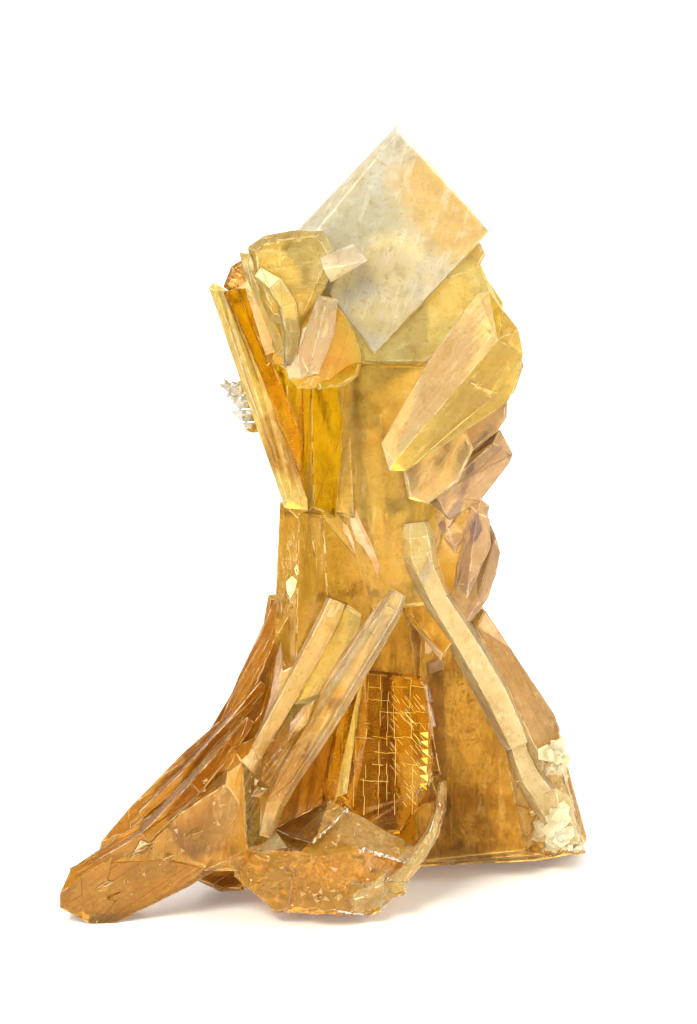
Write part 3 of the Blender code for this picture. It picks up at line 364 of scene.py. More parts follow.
# %% Merge a copy of the CAD node into flat faces
MERGE_DISTANCE = 1e-6
FLAT_ANGLE = math.radians(0.6)
BAR_BEND = math.radians(6)
BAR_FINISHES = ("cream_bar", "golden_bar", "pale_bar", "bar_tip")

cad_mesh = frame["nodes"]["calcite_cluster"].data
body = bmesh.new()
body.from_mesh(cad_mesh)
bmesh.ops.remove_doubles(body, verts=body.verts, dist=MERGE_DISTANCE)
bmesh.ops.dissolve_limit(body, angle_limit=FLAT_ANGLE, verts=body.verts, edges=body.edges)
finish_layer = body.faces.layers.int.new("finish")
way_layer = body.faces.layers.float_vector.new("way")


def name_face(face):
    """Notes the finish and the direction of growth of a face on the face itself."""
    across, up, deep = in_face(face.calc_center_median_weighted())
    finish, way = crystal_at(across, up, deep, face.normal.dot(TO_VIEWER))
    face[finish_layer] = FINISH_NAMES.index(finish)
    face[way_layer] = face_direction(*way)


def name_of(face):
    return FINISH_NAMES[face[finish_layer]]


for face in body.faces:
    name_face(face)
seams = [e for e in body.edges if len(e.link_faces) == 2
         and all(name_of(f) in BAR_FINISHES for f in e.link_faces)]
bmesh.ops.dissolve_limit(body, angle_limit=BAR_BEND, verts=[], edges=seams)
for face in body.faces:
    name_face(face)
print("flat faces:", len(body.faces))

# %% [markdown]
# ## Broken faces
# The lump in front and the curled rim were broken off, not grown, and the crust and the
# small crystals on the left cover the faces under them unevenly. Such faces are cut into
# small triangles and pressed in along a pattern of tilted facets of a few millimetres, since
# calcite breaks in small flat cleavage faces. A smooth noise would look melted. What
# touches the ground isn't moved, so the specimen stands as the solid does.

# %% Cut the rough faces into small triangles
# the longest edge of the small triangles, and how often an edge may be halved
BREAK_SIZE = 0.75 * MM
MOST_CUTS = 6
# finish: how far its breaks are pressed in at most, in mm
BROKEN = {"lump": 0.8, "rim": 0.6, "crust": 0.6, "druse": 0.12}
GROUND_KEEP = 0.05 * MM


def is_ground(face):
    return all(v.co.z < GROUND_KEEP for v in face.verts)


def refine(bm, wanted, size):
    """Cuts the wanted faces into triangles whose edges are shorter than size."""
    bmesh.ops.triangulate(bm, faces=[f for f in bm.faces if wanted(f)])
    for _ in range(MOST_CUTS):
        touched = dict.fromkeys(e for f in bm.faces if wanted(f) for e in f.edges)
        long_edges = [e for e in touched if e.calc_length() > size]
        if not long_edges:
            break
        bmesh.ops.subdivide_edges(bm, edges=long_edges, cuts=1)
        bmesh.ops.triangulate(bm, faces=[f for f in bm.faces if wanted(f) and len(f.verts) > 3])


refine(body, lambda f: name_of(f) in BROKEN and not is_ground(f), BREAK_SIZE)
body.normal_update()
for face in body.faces:
    if name_of(face) in BROKEN:
        name_face(face)
print("faces after the cuts:", len(body.faces))

# %% Press the breaks in
FACET_SIZE = 3.4 * MM
SMALL_FACET = 0.4 * FACET_SIZE
# above 1, so that the steepest facets end in a flat
FACET_SLOPE = 1.3
# how far the facets' borders wander, and over what length, in facet sizes
WOBBLE, WOBBLE_SPAN = 0.35, 2.2
# each axis of the wobble reads the same noise at a place of its own
WOBBLE_SHIFTS = [Vector((0, 0, 17.3 * k)) for k in range(3)]
# the centres of the cells are spread by this much, so that each gets a tilt of its own
CELL_SPREAD = 7.3


def facets(p, size):
    """-1 to 1: the height at p of the tilted flat facet that its cell is broken along."""
    wobble = Vector([noise.noise(p / (WOBBLE_SPAN * size) + shift) for shift in WOBBLE_SHIFTS])
    moved = p + wobble * (WOBBLE * size)
    _, centres = noise.voronoi(moved / size)
    tilt = noise.cell_vector(centres[0] * CELL_SPREAD) * 2 - Vector((1, 1, 1))
    return max(-1.0, min(1.0, FACET_SLOPE * (moved / size - centres[0]).dot(tilt)))


def breaks(p):
    """0 to 1: how deep the breaks press in at p. Broad facets count four times small ones."""
    return 0.5 + 0.4 * facets(p, FACET_SIZE) + 0.1 * facets(p, SMALL_FACET)


moves = {}
for vertex in body.verts:
    depths = [BROKEN.get(name_of(f), 0.0) for f in vertex.link_faces if not is_ground(f)]
    touches_ground = any(is_ground(f) for f in vertex.link_faces)
    if depths and max(depths) > 0 and not touches_ground:
        share = sum(d > 0 for d in depths) / len(depths)
        moves[vertex] = vertex.normal * (-max(depths) * MM * share * breaks(vertex.co))
for vertex, move in moves.items():
    vertex.co += move
print("vertices pressed in by breaks:", len(moves))

# %% [markdown]
# ## Worn edges
# Every long outer edge is cut into short lengths. Each flat face is then inset by about a
# fifth of a millimetre, and the old corners are drawn in by an uneven amount. That leaves a
# narrow nicked band along each edge, which catches the light as a thin bright line. The
# Bevel modifier was no use here, because the joined crystals leave many tiny edges and one
# tiny edge holds the whole bevel back. Every random draw of this script comes from one
# generator with a fixed start, so that each run gives the same specimen.

# %% Wear the edges
# edges are cut about every NICK_STEP where two faces meet by more than the angle SHARP
NICK_STEP = 1.3 * MM
SHARP = math.radians(18)
BAND = 0.18 * MM
# the wear of a corner in mm: the least, and what the deepest nick adds
LEAST_WEAR, NICK_DEPTH = 0.04, 0.42
NICK_SPAN = 2.0 * MM
rng = random.Random(31)


def inner_radius(face):
    """About the radius of the largest circle in a face. It is near 0 for a thin sliver."""
    return 2 * face.calc_area() / max(face.calc_perimeter(), 1e-9)


def is_outer_edge(edge):
    return len(edge.link_faces) == 2 and edge.is_convex and edge.calc_face_angle(0) > SHARP


for edge in [e for e in body.edges if is_outer_edge(e)]:
    cuts = int(edge.calc_length() / NICK_STEP)
    if any(is_ground(f) for f in edge.link_faces):
        continue
    start, rest = edge.verts[0], edge
    for k in range(cuts, 0, -1):
        rest, start = bmesh.utils.edge_split(rest, start, (0.75 + 0.5 * rng.random()) / (k + 1))
        rest = next(e for e in start.link_edges if e is not rest)
body.normal_update()
body.verts.index_update()
drawn_in_by = {}
for vertex in body.verts:
    worn = any(is_outer_edge(e) for e in vertex.link_edges)
    if worn and not any(is_ground(f) for f in vertex.link_faces):
        nick = 0.5 + 0.5 * noise.noise(vertex.co / NICK_SPAN)
        drawn_in_by[vertex.index] = vertex.normal * (-(LEAST_WEAR + NICK_DEPTH * nick**3) * MM)
outer_edges = {frozenset(v.index for v in e.verts) for e in body.edges if is_outer_edge(e)}
print("corners to draw in:", len(drawn_in_by), "outer edges:", len(outer_edges))

# %% [markdown]
# ## Growth steps
# A calcite face grows in layers that end in long straight steps along the crystal. Each
# flat face is cut into strips along its own crystal's direction, each strip is set up to a
# tenth of a millimetre lower than its face, and tipped by up to two degrees. The strips
# then flash in the light one after the other, as the real face does when it is turned.
# Each face is worked in a small mesh of its own, which is much quicker than working it in
# the whole body, and its rim keeps the numbers of the body's corners, so it stays joined to
# its neighbours.

# %% Set a face in, and cut it into strips
# SHARPEST keeps the mitre of a folded corner finite. Where less than LEAST_ALONG of the
# direction of growth lies in a face, the face is cut along a direction of its own.
LONGEST_MITRE = 1.5
SHARPEST = 0.2
LEAST_ALONG = 0.25
# a strip's width in growth steps: the least, and what a random draw adds
NARROW, WIDER = 0.35, 1.3


def inset(bm, face, rim, sink=0.0):
    """Sets a face in by rim and down by sink, and returns it. A sharp corner moves no
    farther than LONGEST_MITRE times the rim, so that no corner runs away in a spike."""
    corners, normal = list(face.verts), face.normal.copy()
    moved = []
    for before, corner, after in zip(corners[-1:] + corners[:-1], corners, corners[1:] + corners[:1]):
        first = normal.cross((corner.co - before.co).normalized())
        second = normal.cross((after.co - corner.co).normalized())
        mitre = (first + second) / max(1 + first.dot(second), SHARPEST)
        mitre *= min(1.0, LONGEST_MITRE / max(mitre.length, 1e-6))
        moved.append(bm.verts.new(corner.co + mitre * rim - normal * sink))
    bm.faces.remove(face)
    for k in range(len(corners)):
        j = (k + 1) % len(corners)
        bm.faces.new((corners[k], corners[j], moved[j], moved[k]))
    inner = bm.faces.new(moved)
    inner.normal_update()
    return inner


def cut_strips(bm, face, along, spacing):
    """Cuts one flat face into strips that run along a direction. Returns the strips."""
    along = along - face.normal * along.dot(face.normal)
    if along.length < LEAST_ALONG:
        along = face.normal.orthogonal()
    across_way = face.normal.cross(along.normalized())
    reach = [v.co.dot(across_way) for v in face.verts]
    at, high = min(reach) + spacing * (0.5 + rng.random()), max(reach)
    strips, last = [], [face]
    while last and at < high - NARROW * spacing:
        around = [e for f in last for e in f.edges] + [v for f in last for v in f.verts]
        geometry = list(dict.fromkeys(last + around))
        cut = bmesh.ops.bisect_plane(
            bm, geom=geometry, dist=1e-8, plane_co=across_way * at, plane_no=across_way
        )
        faces = [g for g in cut["geom"] if isinstance(g, bmesh.types.BMFace)]
        behind = [f for f in faces if f.calc_center_median().dot(across_way) < at]
        strips += behind
        last = [f for f in faces if f not in behind]
        at += spacing * (NARROW + WIDER * rng.random())
    return strips + last, across_way


# %% Lower and tip a strip
# a strip whose inner radius is below THINNEST_STRIP stays as it is, and no rim takes more
# than RIM_SHARE of a radius
THINNEST_STRIP = 0.1 * MM
RIM_SHARE = 0.3
STEP_RIM = 0.06 * MM
STEP_DEPTH = 0.06 * MM
MOST_TIP = math.radians(0.7)
TIP_RADIUS = 1.2 * MM
MOST_LIFT = 0.04 * MM


def sink_strip(bm, strip, across_way, ribbed):
    """Sets one strip a little lower than its face and tips it about its length. The more
    ribbed the crystal is, the more. A wide strip is tipped less than a narrow one."""
    radius = inner_radius(strip)
    if radius < THINNEST_STRIP:
        return
    sink = STEP_DEPTH * (0.6 + 2 * ribbed) * rng.random() ** 1.5
    strip = inset(bm, strip, min(STEP_RIM, RIM_SHARE * radius), sink)
    middle = strip.calc_center_median()
    angle = MOST_TIP * (0.5 + 5 * ribbed) * (2 * rng.random() - 1)
    tip = math.tan(angle) * min(1.0, TIP_RADIUS / radius)
    for vertex in strip.verts:
        lift = tip * (vertex.co - middle).dot(across_way)
        vertex.co += strip.normal * min(lift, MOST_LIFT)


# %% Work every flat face
# a face below LEAST_AREA gets no strips, and one below LEAST_RADIUS no band either
LEAST_AREA = 5.0 * MM * MM
LEAST_RADIUS = 0.12 * MM
# the share of the bands painted pale, for wear and as an edge highlight,
# and how little the bars' faces differ
PALE_BAND_PART = 0.45
BAR_SHADE = 0.25

points = [v.co.copy() for v in body.verts]
made_faces, made_finishes, made_ways, made_shades, made_pale_bands = [], [], [], [], []


def keep(corners, finish, way, shade, worn=False):
    """Notes one face of the new body, by the numbers of its points, and what it is like."""
    made_faces.append(corners)
    made_finishes.append(finish)
    made_ways.append(way)
    made_shades.append(shade)
    made_pale_bands.append(worn)


def work_face(face, finish, way, shade):
    """Gives one flat face its worn band and its growth steps, in a mesh of its own."""
    small = bmesh.new()
    numbers = {small.verts.new(v.co): v.index for v in face.verts}
    rim = dict(numbers)
    flat = small.faces.new(list(numbers))
    flat.normal_update()
    inner = inset(small, flat, min(BAND, RIM_SHARE * inner_radius(face)))
    _, _, ribbed, _, step = FINISHES[FINISH_NAMES[finish]]
    if step > 0 and inner.calc_area() > LEAST_AREA:
        strips, across_way = cut_strips(small, inner, way, step * MM)
        for strip in strips:
            sink_strip(small, strip, across_way, ribbed)
    for vertex in small.verts:
        if vertex not in numbers:
            numbers[vertex] = len(points)
            points.append(vertex.co.copy())
    for made in small.faces:
        worn = frozenset(rim[v] for v in made.verts if v in rim) in outer_edges
        worn = worn and rng.random() < PALE_BAND_PART
        keep([numbers[v] for v in made.verts], finish, way, shade, worn)
    small.free()


worked = 0
for face in body.faces:
    finish, way, shade = face[finish_layer], Vector(face[way_layer]), rng.uniform(-1, 1)
    if name_of(face) in BAR_FINISHES:
        shade *= BAR_SHADE
    rough = name_of(face) in BROKEN or is_ground(face)
    if rough or inner_radius(face) < LEAST_RADIUS:
        keep([v.index for v in face.verts], finish, way, shade)
    else:
        work_face(face, finish, way, shade)
        worked += 1
for number, move in drawn_in_by.items():
    points[number] += move
body.free()
print("flat faces worked:", worked, "faces now:", len(made_faces))

# %% Make one mesh of the body and keep it inside the CAD box
points = [Vector(max(a, min(b, c)) for c, a, b in zip(p, cad_low, cad_high)) for p in points]
specimen_mesh = bpy.data.meshes.new("calcite_specimen")
specimen_mesh.from_pydata(points, [], made_faces)
numbers = specimen_mesh.attributes.new("number", "INT", "FACE")
numbers.data.foreach_set("value", np.arange(len(made_faces), dtype=np.int32))
print("faces mended:", specimen_mesh.validate())
body = bmesh.new()
body.from_mesh(specimen_mesh)
bmesh.ops.triangulate(body, faces=body.faces)
odd_edges = sum(len(e.link_faces) != 2 for e in body.edges)
print("triangles:", len(body.faces), "edges without exactly two of them:", odd_edges)
body.to_mesh(specimen_mesh)
body.free()
print("triangles mended:", specimen_mesh.validate(), "left:", len(specimen_mesh.polygons))

# %% [markdown]
# ## What the body tells its material
# The material needs three things at each point: the tint of the crystal, how milky, fibrous
# and stained it is, and coordinates that run along the crystal's own growth, so that fibres
# follow each blade. They are stored as attributes on the mesh. A worn band is paler and
# milkier than its face, as scratched stone is.
# The pale tint of a band is also a painted highlight: the bright line that an edge catches.

# %% Write the body's attributes
corner_total = len(specimen_mesh.loops)
tints = np.zeros((corner_total, 4), np.float32)
habits = np.zeros((corner_total, 3), np.float32)
growth = np.zeros((corner_total, 3), np.float32)
# a pale band: paler with wear, and a painted highlight along the edge
WEAR_AND_HIGHLIGHT_TINT, WEAR_AND_HIGHLIGHT_SHARE, WORN_MILK = np.array(linear("#fff0c8")), 0.46, 0.2
# how far the tint of a whole face may differ from that of its crystal
SHADE_SHARE = 0.09
at = 0
numbers = specimen_mesh.attributes["number"].data
for face in specimen_mesh.polygons:
    number = numbers[face.index].value
    tint, *habit, _ = FINISHES[FINISH_NAMES[made_finishes[number]]]
    way = made_ways[number]
    side = TO_VIEWER.cross(way)
    face_tint = np.array(linear(tint)) * (1 + SHADE_SHARE * made_shades[number])
    face_habit = np.array(habit)
    # a pale band gets the pale tint of wear and of a painted edge highlight
    if made_pale_bands[number]:
        face_tint = face_tint * (1 - WEAR_AND_HIGHLIGHT_SHARE) + WEAR_AND_HIGHLIGHT_TINT * WEAR_AND_HIGHLIGHT_SHARE
        face_habit[0] += WORN_MILK
    for corner in face.vertices:
        point = specimen_mesh.vertices[corner].co / MM
        tints[at] = np.minimum(face_tint, 1.0)
        habits[at] = face_habit
        growth[at] = (point.dot(way), point.dot(side), point.dot(TO_VIEWER))
        at += 1
for name, kind, values in (
    ("tint", "FLOAT_COLOR", tints),
    ("habit", "FLOAT_VECTOR", habits),
    ("growth", "FLOAT_VECTOR", growth),
):
    attribute = specimen_mesh.attributes.new(name, kind, "CORNER")
    attribute.data.foreach_set("color" if kind == "FLOAT_COLOR" else "vector", values.ravel())
specimen_mesh.attributes.remove(specimen_mesh.attributes["number"])
specimen = bpy.data.objects.new("calcite_specimen", specimen_mesh)
scene.collection.objects.link(specimen)
print("corners with attributes:", corner_total)

# %% [markdown]
# ## Zones of colour
# The iron that tints the calcite isn't spread evenly. The summit is a grey cream with a
# warm corner, the lobes are deep yellow, and brown clouds lie in the slab. Each zone is an
# oval in the face frame, and the material makes its rim ragged by moving the point that it
# asks about by a noise. Ovals were chosen over painting, since they pass through the body.
# Two zones on the bars are painted shade: they darken the bars from the middle down.

# %% Zones
RAGGED_MM = 7.0
DEEPLY = 30.0
# name, centre (across, up, deep), reach (across, up, deep), turn, colour, strength
PATCHES = [
    ("summit_grey", (3.0, 126.0, 12), (12, 8, DEEPLY), math.radians(50), "#c3bea6", 0.80),
    ("summit_low", (-2.5, 118.5, 12), (6, 5, DEEPLY), 0.0, "#f2dfa4", 0.60),
    ("summit_left", (-1.5, 133.5, 12), (3.5, 14, DEEPLY), math.radians(-44), "#c8bb9c", 0.55),
    ("summit_warm", (18.5, 129.5, 12), (9.5, 16, DEEPLY), math.radians(41), "#dfbb64", 0.75),
    ("summit_foot", (9.0, 110.5, 12), (9, 6, DEEPLY), 0.0, "#e2cf8c", 0.55),
    ("summit_heart", (9.0, 120.5, 12), (8, 7, DEEPLY), 0.0, "#ecdca8", 0.75),
    ("crown_gold", (-13.0, 119.5, 8), (8, 4.5, 12), 0.0, "#dfb544", 0.50),
    ("lobe_gold", (-3.5, 102.0, 4), (7.5, 4.0, 9), 0.0, "#e8a90c", 0.80),
    ("column_brown", (-11.0, 90.0, 5), (5, 9, 9), 0.0, "#c07d08", 0.55),
    ("trunk_specks", (6.5, 91.0, 10), (7, 5, 14), math.radians(25), "#a87a2c", 0.50),
    ("trunk_haze", (6.0, 66.0, 10), (7.5, 10, 12), 0.0, "#ecbd76", 0.45),
    ("slab_cloud", (22.5, 21.5, 16), (8.5, 5, 14), math.radians(8), "#7c4c14", 0.80),
    ("slab_foot_cloud", (21.0, 13.2, 16), (13, 1.8, 14), math.radians(3), "#7d5030", 0.60),
    ("slab_streak", (18.5, 41.0, 16), (2.5, 6, 14), 0.0, "#7a4a10", 0.35),
    ("slab_high_cloud", (26.5, 38.0, 16), (4, 9, 14), math.radians(25), "#84591e", 0.30),
    ("slab_pale", (14.0, 27.0, 16), (4.5, 7, 14), 0.0, "#e6c272", 0.65),
    # painted shade: this zone and the next darken the bars from the middle down
    ("bars_low_painted_shade", (-11.5, 29.0, 2), (6, 12, 12), math.radians(-30), "#97662a", 0.90),
    ("right_bar_shade", (-4.0, 39.5, -1), (4, 7, 8), math.radians(-35), "#cb9c42", 0.75),
    ("cavity_amber", (-6.0, 28.5, 15), (5.5, 13, 8), math.radians(-28), "#8f4c06", 0.95),
    ("spear_rose", (19.5, 72.0, 10), (4, 7, 12), math.radians(-20), "#fbdcb8", 0.80),
    ("left_blade_low", (-12.0, 87.0, 3), (3, 10, 7), math.radians(17), "#b08028", 0.85),
    ("lump_rose", (3.0, 17.5, 2), (11, 4, 12), math.radians(-12), "#f6cc8a", 0.60),
    ("lump_gold", (-15.0, 9.0, 2), (6, 8, 9), 0.0, "#e6a426", 0.40),
    ("foot_brown", (-32.0, 15.5, 6), (15, 7, 12), math.radians(38), "#9a6518", 0.65),
    ("foot_tip", (-46.0, 6.0, 2), (7, 6, 10), 0.0, "#a06a20", 0.65),
    ("foot_pale", (-21.0, 22.0, 4), (4, 9, 10), math.radians(-12), "#dcae60", 0.60),
]
print(len(PATCHES), "zones of colour")

# %% [markdown]
# ## The calcite
# Calcite is a clear carbonate mineral with an IOR of about 1.6. This one is tinted gold by
# iron through its whole depth, so the body is a Principled shader with transmission and a
# Volume Absorption inside it that takes blue first. Growth fibres, healed cracks and clouds
# of tiny inclusions make it milky in places. They turn part of the transmission into a soft
# pale body colour, more so in the summit and the bars than in the amber columns.

# %% Add a node, start a material
OBJECT_TO_MM = (1000, 1000, 1000)


def add(tree, kind, settings=None, sources=None):
    """Adds a node and returns its outputs. settings holds its properties and the plain values
    of its inputs, and sources the sockets that feed them. An input has a name or a number."""
    node = tree.nodes.new(kind)
    for key, value in (settings or {}).items():
        if isinstance(key, str) and hasattr(node, key):
            setattr(node, key, value)
        else:
            node.inputs[key].default_value = value
    for key, source in (sources or {}).items():
        tree.links.new(source, node.inputs[key])
    return node.outputs


def new_material(name, settings):
    """A material with plain values for its Principled shader, its tree and that shader."""
    material = bpy.data.materials.new(name)
    material.use_nodes = True
    shader = material.node_tree.nodes["Principled BSDF"]
    for label, value in settings.items():
        shader.inputs[label].default_value = value
    return material, material.node_tree, shader


def from_to(low, high, to_low, to_high):
    """What maps low to high onto to_low to to_high, and holds beyond them."""
    return {"From Min": low, "From Max": high, "To Min": to_low, "To Max": to_high}


print("object coordinates are taken", OBJECT_TO_MM[0], "times, which makes them mm")

# %% Patterns, zones and layers of colour


def pattern(tree, where, stretch, detail=3.0, distortion=0.0, seed=0.0):
    """Noise on a coordinate in mm. stretch is how many features there are in each mm."""
    moved = add(tree, "ShaderNodeMapping", {"Scale": stretch, "Location": (seed, seed, seed)},
                {"Vector": where})
    settings = {"Scale": 1.0, "Detail": detail, "Roughness": 0.6, "Distortion": distortion}
    return add(tree, "ShaderNodeTexNoise", settings, {"Vector": moved[0]})["Fac"]


def away_from_zone(tree, where, centre, reach, turn):
    """0 at the centre of an oval zone of the face frame, 1 at its rim, and more beyond."""
    middle = place(*centre) / MM + Vector((0.5, 0.5, 0.5)) * RAGGED_MM
    frame_turn = Matrix.Rotation(math.pi / 2 - FACE_LEAN, 3, "X") @ Matrix.Rotation(turn, 3, "Z")
    settings = {"vector_type": "TEXTURE", "Location": middle, "Rotation": frame_turn.to_euler(),
                "Scale": reach}
    moved = add(tree, "ShaderNodeMapping", settings, {"Vector": where})
    return add(tree, "ShaderNodeVectorMath", {"operation": "LENGTH"}, {0: moved[0]})["Value"]


def lay_over(tree, below, above, source, low, high, most, weakened_by=None):
    """Lays one colour over another where source goes from low to high, by most at most. A
    colour is a socket or a hex code."""
    share = add(tree, "ShaderNodeMapRange", from_to(low, high, 0.0, most), {"Value": source})[0]
    if weakened_by is not None:
        share = add(tree, "ShaderNodeMath", {"operation": "MULTIPLY"}, {0: share, 1: weakened_by})[0]
    settings, sources = {"data_type": "RGBA"}, {0: share}
    for number, colour in ((6, below), (7, above)):
        if isinstance(colour, str):
            settings[number] = linear(colour)
        else:
            sources[number] = colour
    return add(tree, "ShaderNodeMix", settings, sources)[2]


# %% The calcite's patterns
# Calcite bends light by 1.49 or by 1.66, and 1.56 lies between the two. The warm specular
# tint gives reflections the gold of the stone, the soft light that spreads under the skin
# makes it look deep, and a thin clear coat adds the sharp glint of a fresh cleavage face.
calcite, tree, shader = new_material("golden_calcite", {
    "IOR": 1.56,
    "Subsurface Weight": 1.0,
    "Subsurface Radius": (1.0, 0.9, 0.6),
    "Subsurface Scale": 0.006,
    "Specular Tint": (1.0, 0.84, 0.52, 1.0),
    "Coat Weight": 0.15,
    "Coat Roughness": 0.03,
    "Coat IOR": 1.6,
})
tint, habit, along_growth = [
    add(tree, "ShaderNodeAttribute", {"attribute_name": name})[output]
    for name, output in (("tint", "Color"), ("habit", "Vector"), ("growth", "Vector"))
]
milk, fibrous, stained = add(tree, "ShaderNodeSeparateXYZ", None, {"Vector": habit})
object_mm = add(tree, "ShaderNodeMapping", {"Scale": OBJECT_TO_MM},
                {"Vector": add(tree, "ShaderNodeTexCoord")["Object"]})[0]

# The numbers are features in each mm. Fibres are 14 mm long and 0.7 mm apart, where the real
# ones are finer than the render could show. Wisps are 8 by 2 mm, streaks of stain 6 by 3 mm,
# clouds 8 mm, mottles 2.4 mm and specks 0.7 mm wide.
fibres = pattern(tree, along_growth, (0.07, 1.5, 0.6), detail=2.0, distortion=0.3)
wisps = pattern(tree, along_growth, (0.12, 0.55, 0.4), detail=5.0, distortion=0.2, seed=2.0)
streaks = pattern(tree, along_growth, (0.18, 0.30, 0.28), detail=7.0, distortion=0.1, seed=7.0)
clouds = pattern(tree, object_mm, (0.13, 0.13, 0.13), detail=2.0, distortion=0.8, seed=4.0)
specks = pattern(tree, object_mm, (1.4, 1.4, 1.4), detail=2.0, seed=9.0)
mottles = pattern(tree, object_mm, (0.42, 0.42, 0.42), detail=5.0, distortion=0.2, seed=13.0)
wander = add(tree, "ShaderNodeTexNoise", {"Scale": 0.16, "Detail": 3.0, "Roughness": 0.65},
             {"Vector": object_mm})["Color"]
ragged_mm = add(tree, "ShaderNodeVectorMath", {"operation": "MULTIPLY_ADD", 1: (RAGGED_MM,) * 3},
                {0: wander, 2: object_mm})[0]
print("patterns in the calcite:", sum(n.type == "TEX_NOISE" for n in tree.nodes))

# %% The calcite's colour
pale_tint = add(tree, "ShaderNodeGamma", {"Gamma": 0.55}, {"Color": tint})[0]
deep_tint = add(tree, "ShaderNodeMix", {"data_type": "RGBA", "blend_type": "MULTIPLY", 0: 1.0,
                                        7: linear("#ccbb98")}, {6: tint})[2]
body_colour = lay_over(tree, tint, deep_tint, clouds, 0.40, 0.72, 0.35)
for _, centre, reach, turn, colour, strength in PATCHES:
    away = away_from_zone(tree, ragged_mm, centre, reach, turn)
    body_colour = lay_over(tree, body_colour, colour, away, 1.0, 0.6, strength)

# pattern, where it starts and is full, strength, what weakens it, colour laid over
LAYERS = [
    (mottles, 0.52, 0.66, 0.40, None, deep_tint),
    (mottles, 0.46, 0.34, 0.30, None, pale_tint),
    (fibres, 0.52, 0.72, 0.45, fibrous, pale_tint),
    (fibres, 0.46, 0.30, 0.40, fibrous, deep_tint),
    (wisps, 0.58, 0.70, 0.40, None, pale_tint),
    (streaks, 0.47, 0.57, 0.80, stained, "#7d4e18"),
    (specks, 0.60, 0.68, 0.45, None, deep_tint),
]
for source, low, high, most, weakened_by, above in LAYERS:
    body_colour = lay_over(tree, body_colour, above, source, low, high, most, weakened_by)
tree.links.new(body_colour, shader.inputs["Base Color"])
print("layers of colour:", 1 + len(PATCHES) + len(LAYERS))

# %% The calcite's depth and skin
wisp_milk = add(tree, "ShaderNodeMapRange", from_to(0.58, 0.70, 0.0, 0.24), {"Value": wisps})[0]
milkiness = add(tree, "ShaderNodeMath", {"operation": "ADD"}, {0: milk, 1: wisp_milk})[0]
for label, settings in (
    ("Transmission Weight", from_to(0.0, 1.0, 0.97, 0.35)),
    ("Roughness", from_to(0.20, 0.80, 0.03, 0.20)),
):
    value = add(tree, "ShaderNodeMapRange", settings, {"Value": milkiness})[0]
    tree.links.new(value, shader.inputs[label])
height = add(tree, "ShaderNodeMath", {"operation": "MULTIPLY"}, {0: fibres, 1: fibrous})[0]
for source, share in ((specks, 0.12), (mottles, 0.9)):
    height = add(tree, "ShaderNodeMath", {"operation": "MULTIPLY_ADD", 1: share},
                 {0: source, 2: height})[0]
bump = add(tree, "ShaderNodeBump", {"Strength": 0.6, "Distance": 0.00030}, {"Height": height})[0]
tree.links.new(bump, shader.inputs["Normal"])
depth = add(tree, "ShaderNodeVolumeAbsorption", {"Color": linear("#fdeb59"), "Density": 40.0})[0]
tree.links.new(depth, tree.nodes["Material Output"].inputs["Volume"])
specimen_mesh.materials.append(calcite)
print("calcite nodes:", len(tree.nodes))

# %% [markdown]
# ## Finding places on and in the body
# The small pieces are placed by looking at the CAD solid from the front: a ray through a
# place of the face frame finds the skin, and a piece is sunk below it by a chosen depth. A
# point counts as inside when the nearest skin faces away from it.

# %% Ask the solid for places
cad_faces = [p.vertices for p in cad_mesh.polygons]
skin = BVHTree.FromPolygons([v.co for v in cad_mesh.vertices], cad_faces)
RAY_START = -60.0


def front(across, up, sink=0.0):
    """The point sink mm below the skin at a place of the face, and the skin's normal."""
    hit, normal, _, _ = skin.ray_cast(place(across, up, RAY_START), -TO_VIEWER)
    if hit is None:
        return None, None
    return hit - TO_VIEWER * (sink * MM), normal


def is_inside(point, margin=0.22):
    """Whether a point lies in the solid, and more than margin mm from its skin."""
    near, normal, _, away = skin.find_nearest(point)
    return away > margin * MM and (point - near).dot(normal) < 0


def turn_to(way, spin=0.0):
    """Euler angles that lay a shape's long axis along a way and spin it about that way."""
    return (way.to_track_quat("Z", "X").to_matrix() @ Matrix.Rotation(spin, 3, "Z")).to_euler()


point, _ = front(*ON_TRUNK[:2])
print("skin at the trunk lies", round(in_face(point)[2], 2), "mm deep")

# %% [markdown]
# ## Small shapes on many points
# Flecks, needles, chips and small crystals differ only in their number of sides, in how far
# they taper and in their size. One Geometry Nodes tree puts such a tapered prism on each
# point of a mesh of points, turned and sized by two attributes of that point. Geometry
# Nodes were chosen over joined mesh copies because the same tree serves every kind of piece
# by its named inputs. Nothing in the tree is random: the points bring what differs.

# %% The tree that puts a tapered prism on each point
PRISMS = bpy.data.node_groups.new("tapered_prisms", "GeometryNodeTree")
for label, in_out, kind in (
    ("Points", "INPUT", "NodeSocketGeometry"),
    ("Sides", "INPUT", "NodeSocketInt"),
    ("Tip Share", "INPUT", "NodeSocketFloat"),
    ("Finish", "INPUT", "NodeSocketMaterial"),
    ("Pieces", "OUTPUT", "NodeSocketGeometry"),
):
    PRISMS.interface.new_socket(label, in_out=in_out, socket_type=kind)
given = add(PRISMS, "NodeGroupInput")
prism = add(PRISMS, "GeometryNodeMeshCone", {"Radius Bottom": 0.5, "Depth": 1.0},
            {"Vertices": given["Sides"], "Radius Top": given["Tip Share"]})["Mesh"]
turn, size = [
    add(PRISMS, "GeometryNodeInputNamedAttribute", {"data_type": "FLOAT_VECTOR", "Name": label})
    for label in ("turn", "size")
]
on_points = add(PRISMS, "GeometryNodeInstanceOnPoints", None,
                {"Points": given["Points"], "Instance": prism, "Rotation": turn["Attribute"],
                 "Scale": size["Attribute"]})[0]
real = add(PRISMS, "GeometryNodeRealizeInstances", None, {"Geometry": on_points})[0]
done = add(PRISMS, "GeometryNodeSetMaterial", None,
           {"Geometry": real, "Material": given["Finish"]})[0]
add(PRISMS, "NodeGroupOutput", None, {"Pieces": done})
print("nodes in the tree:", len(PRISMS.nodes))

# %% Make a piece of many prisms


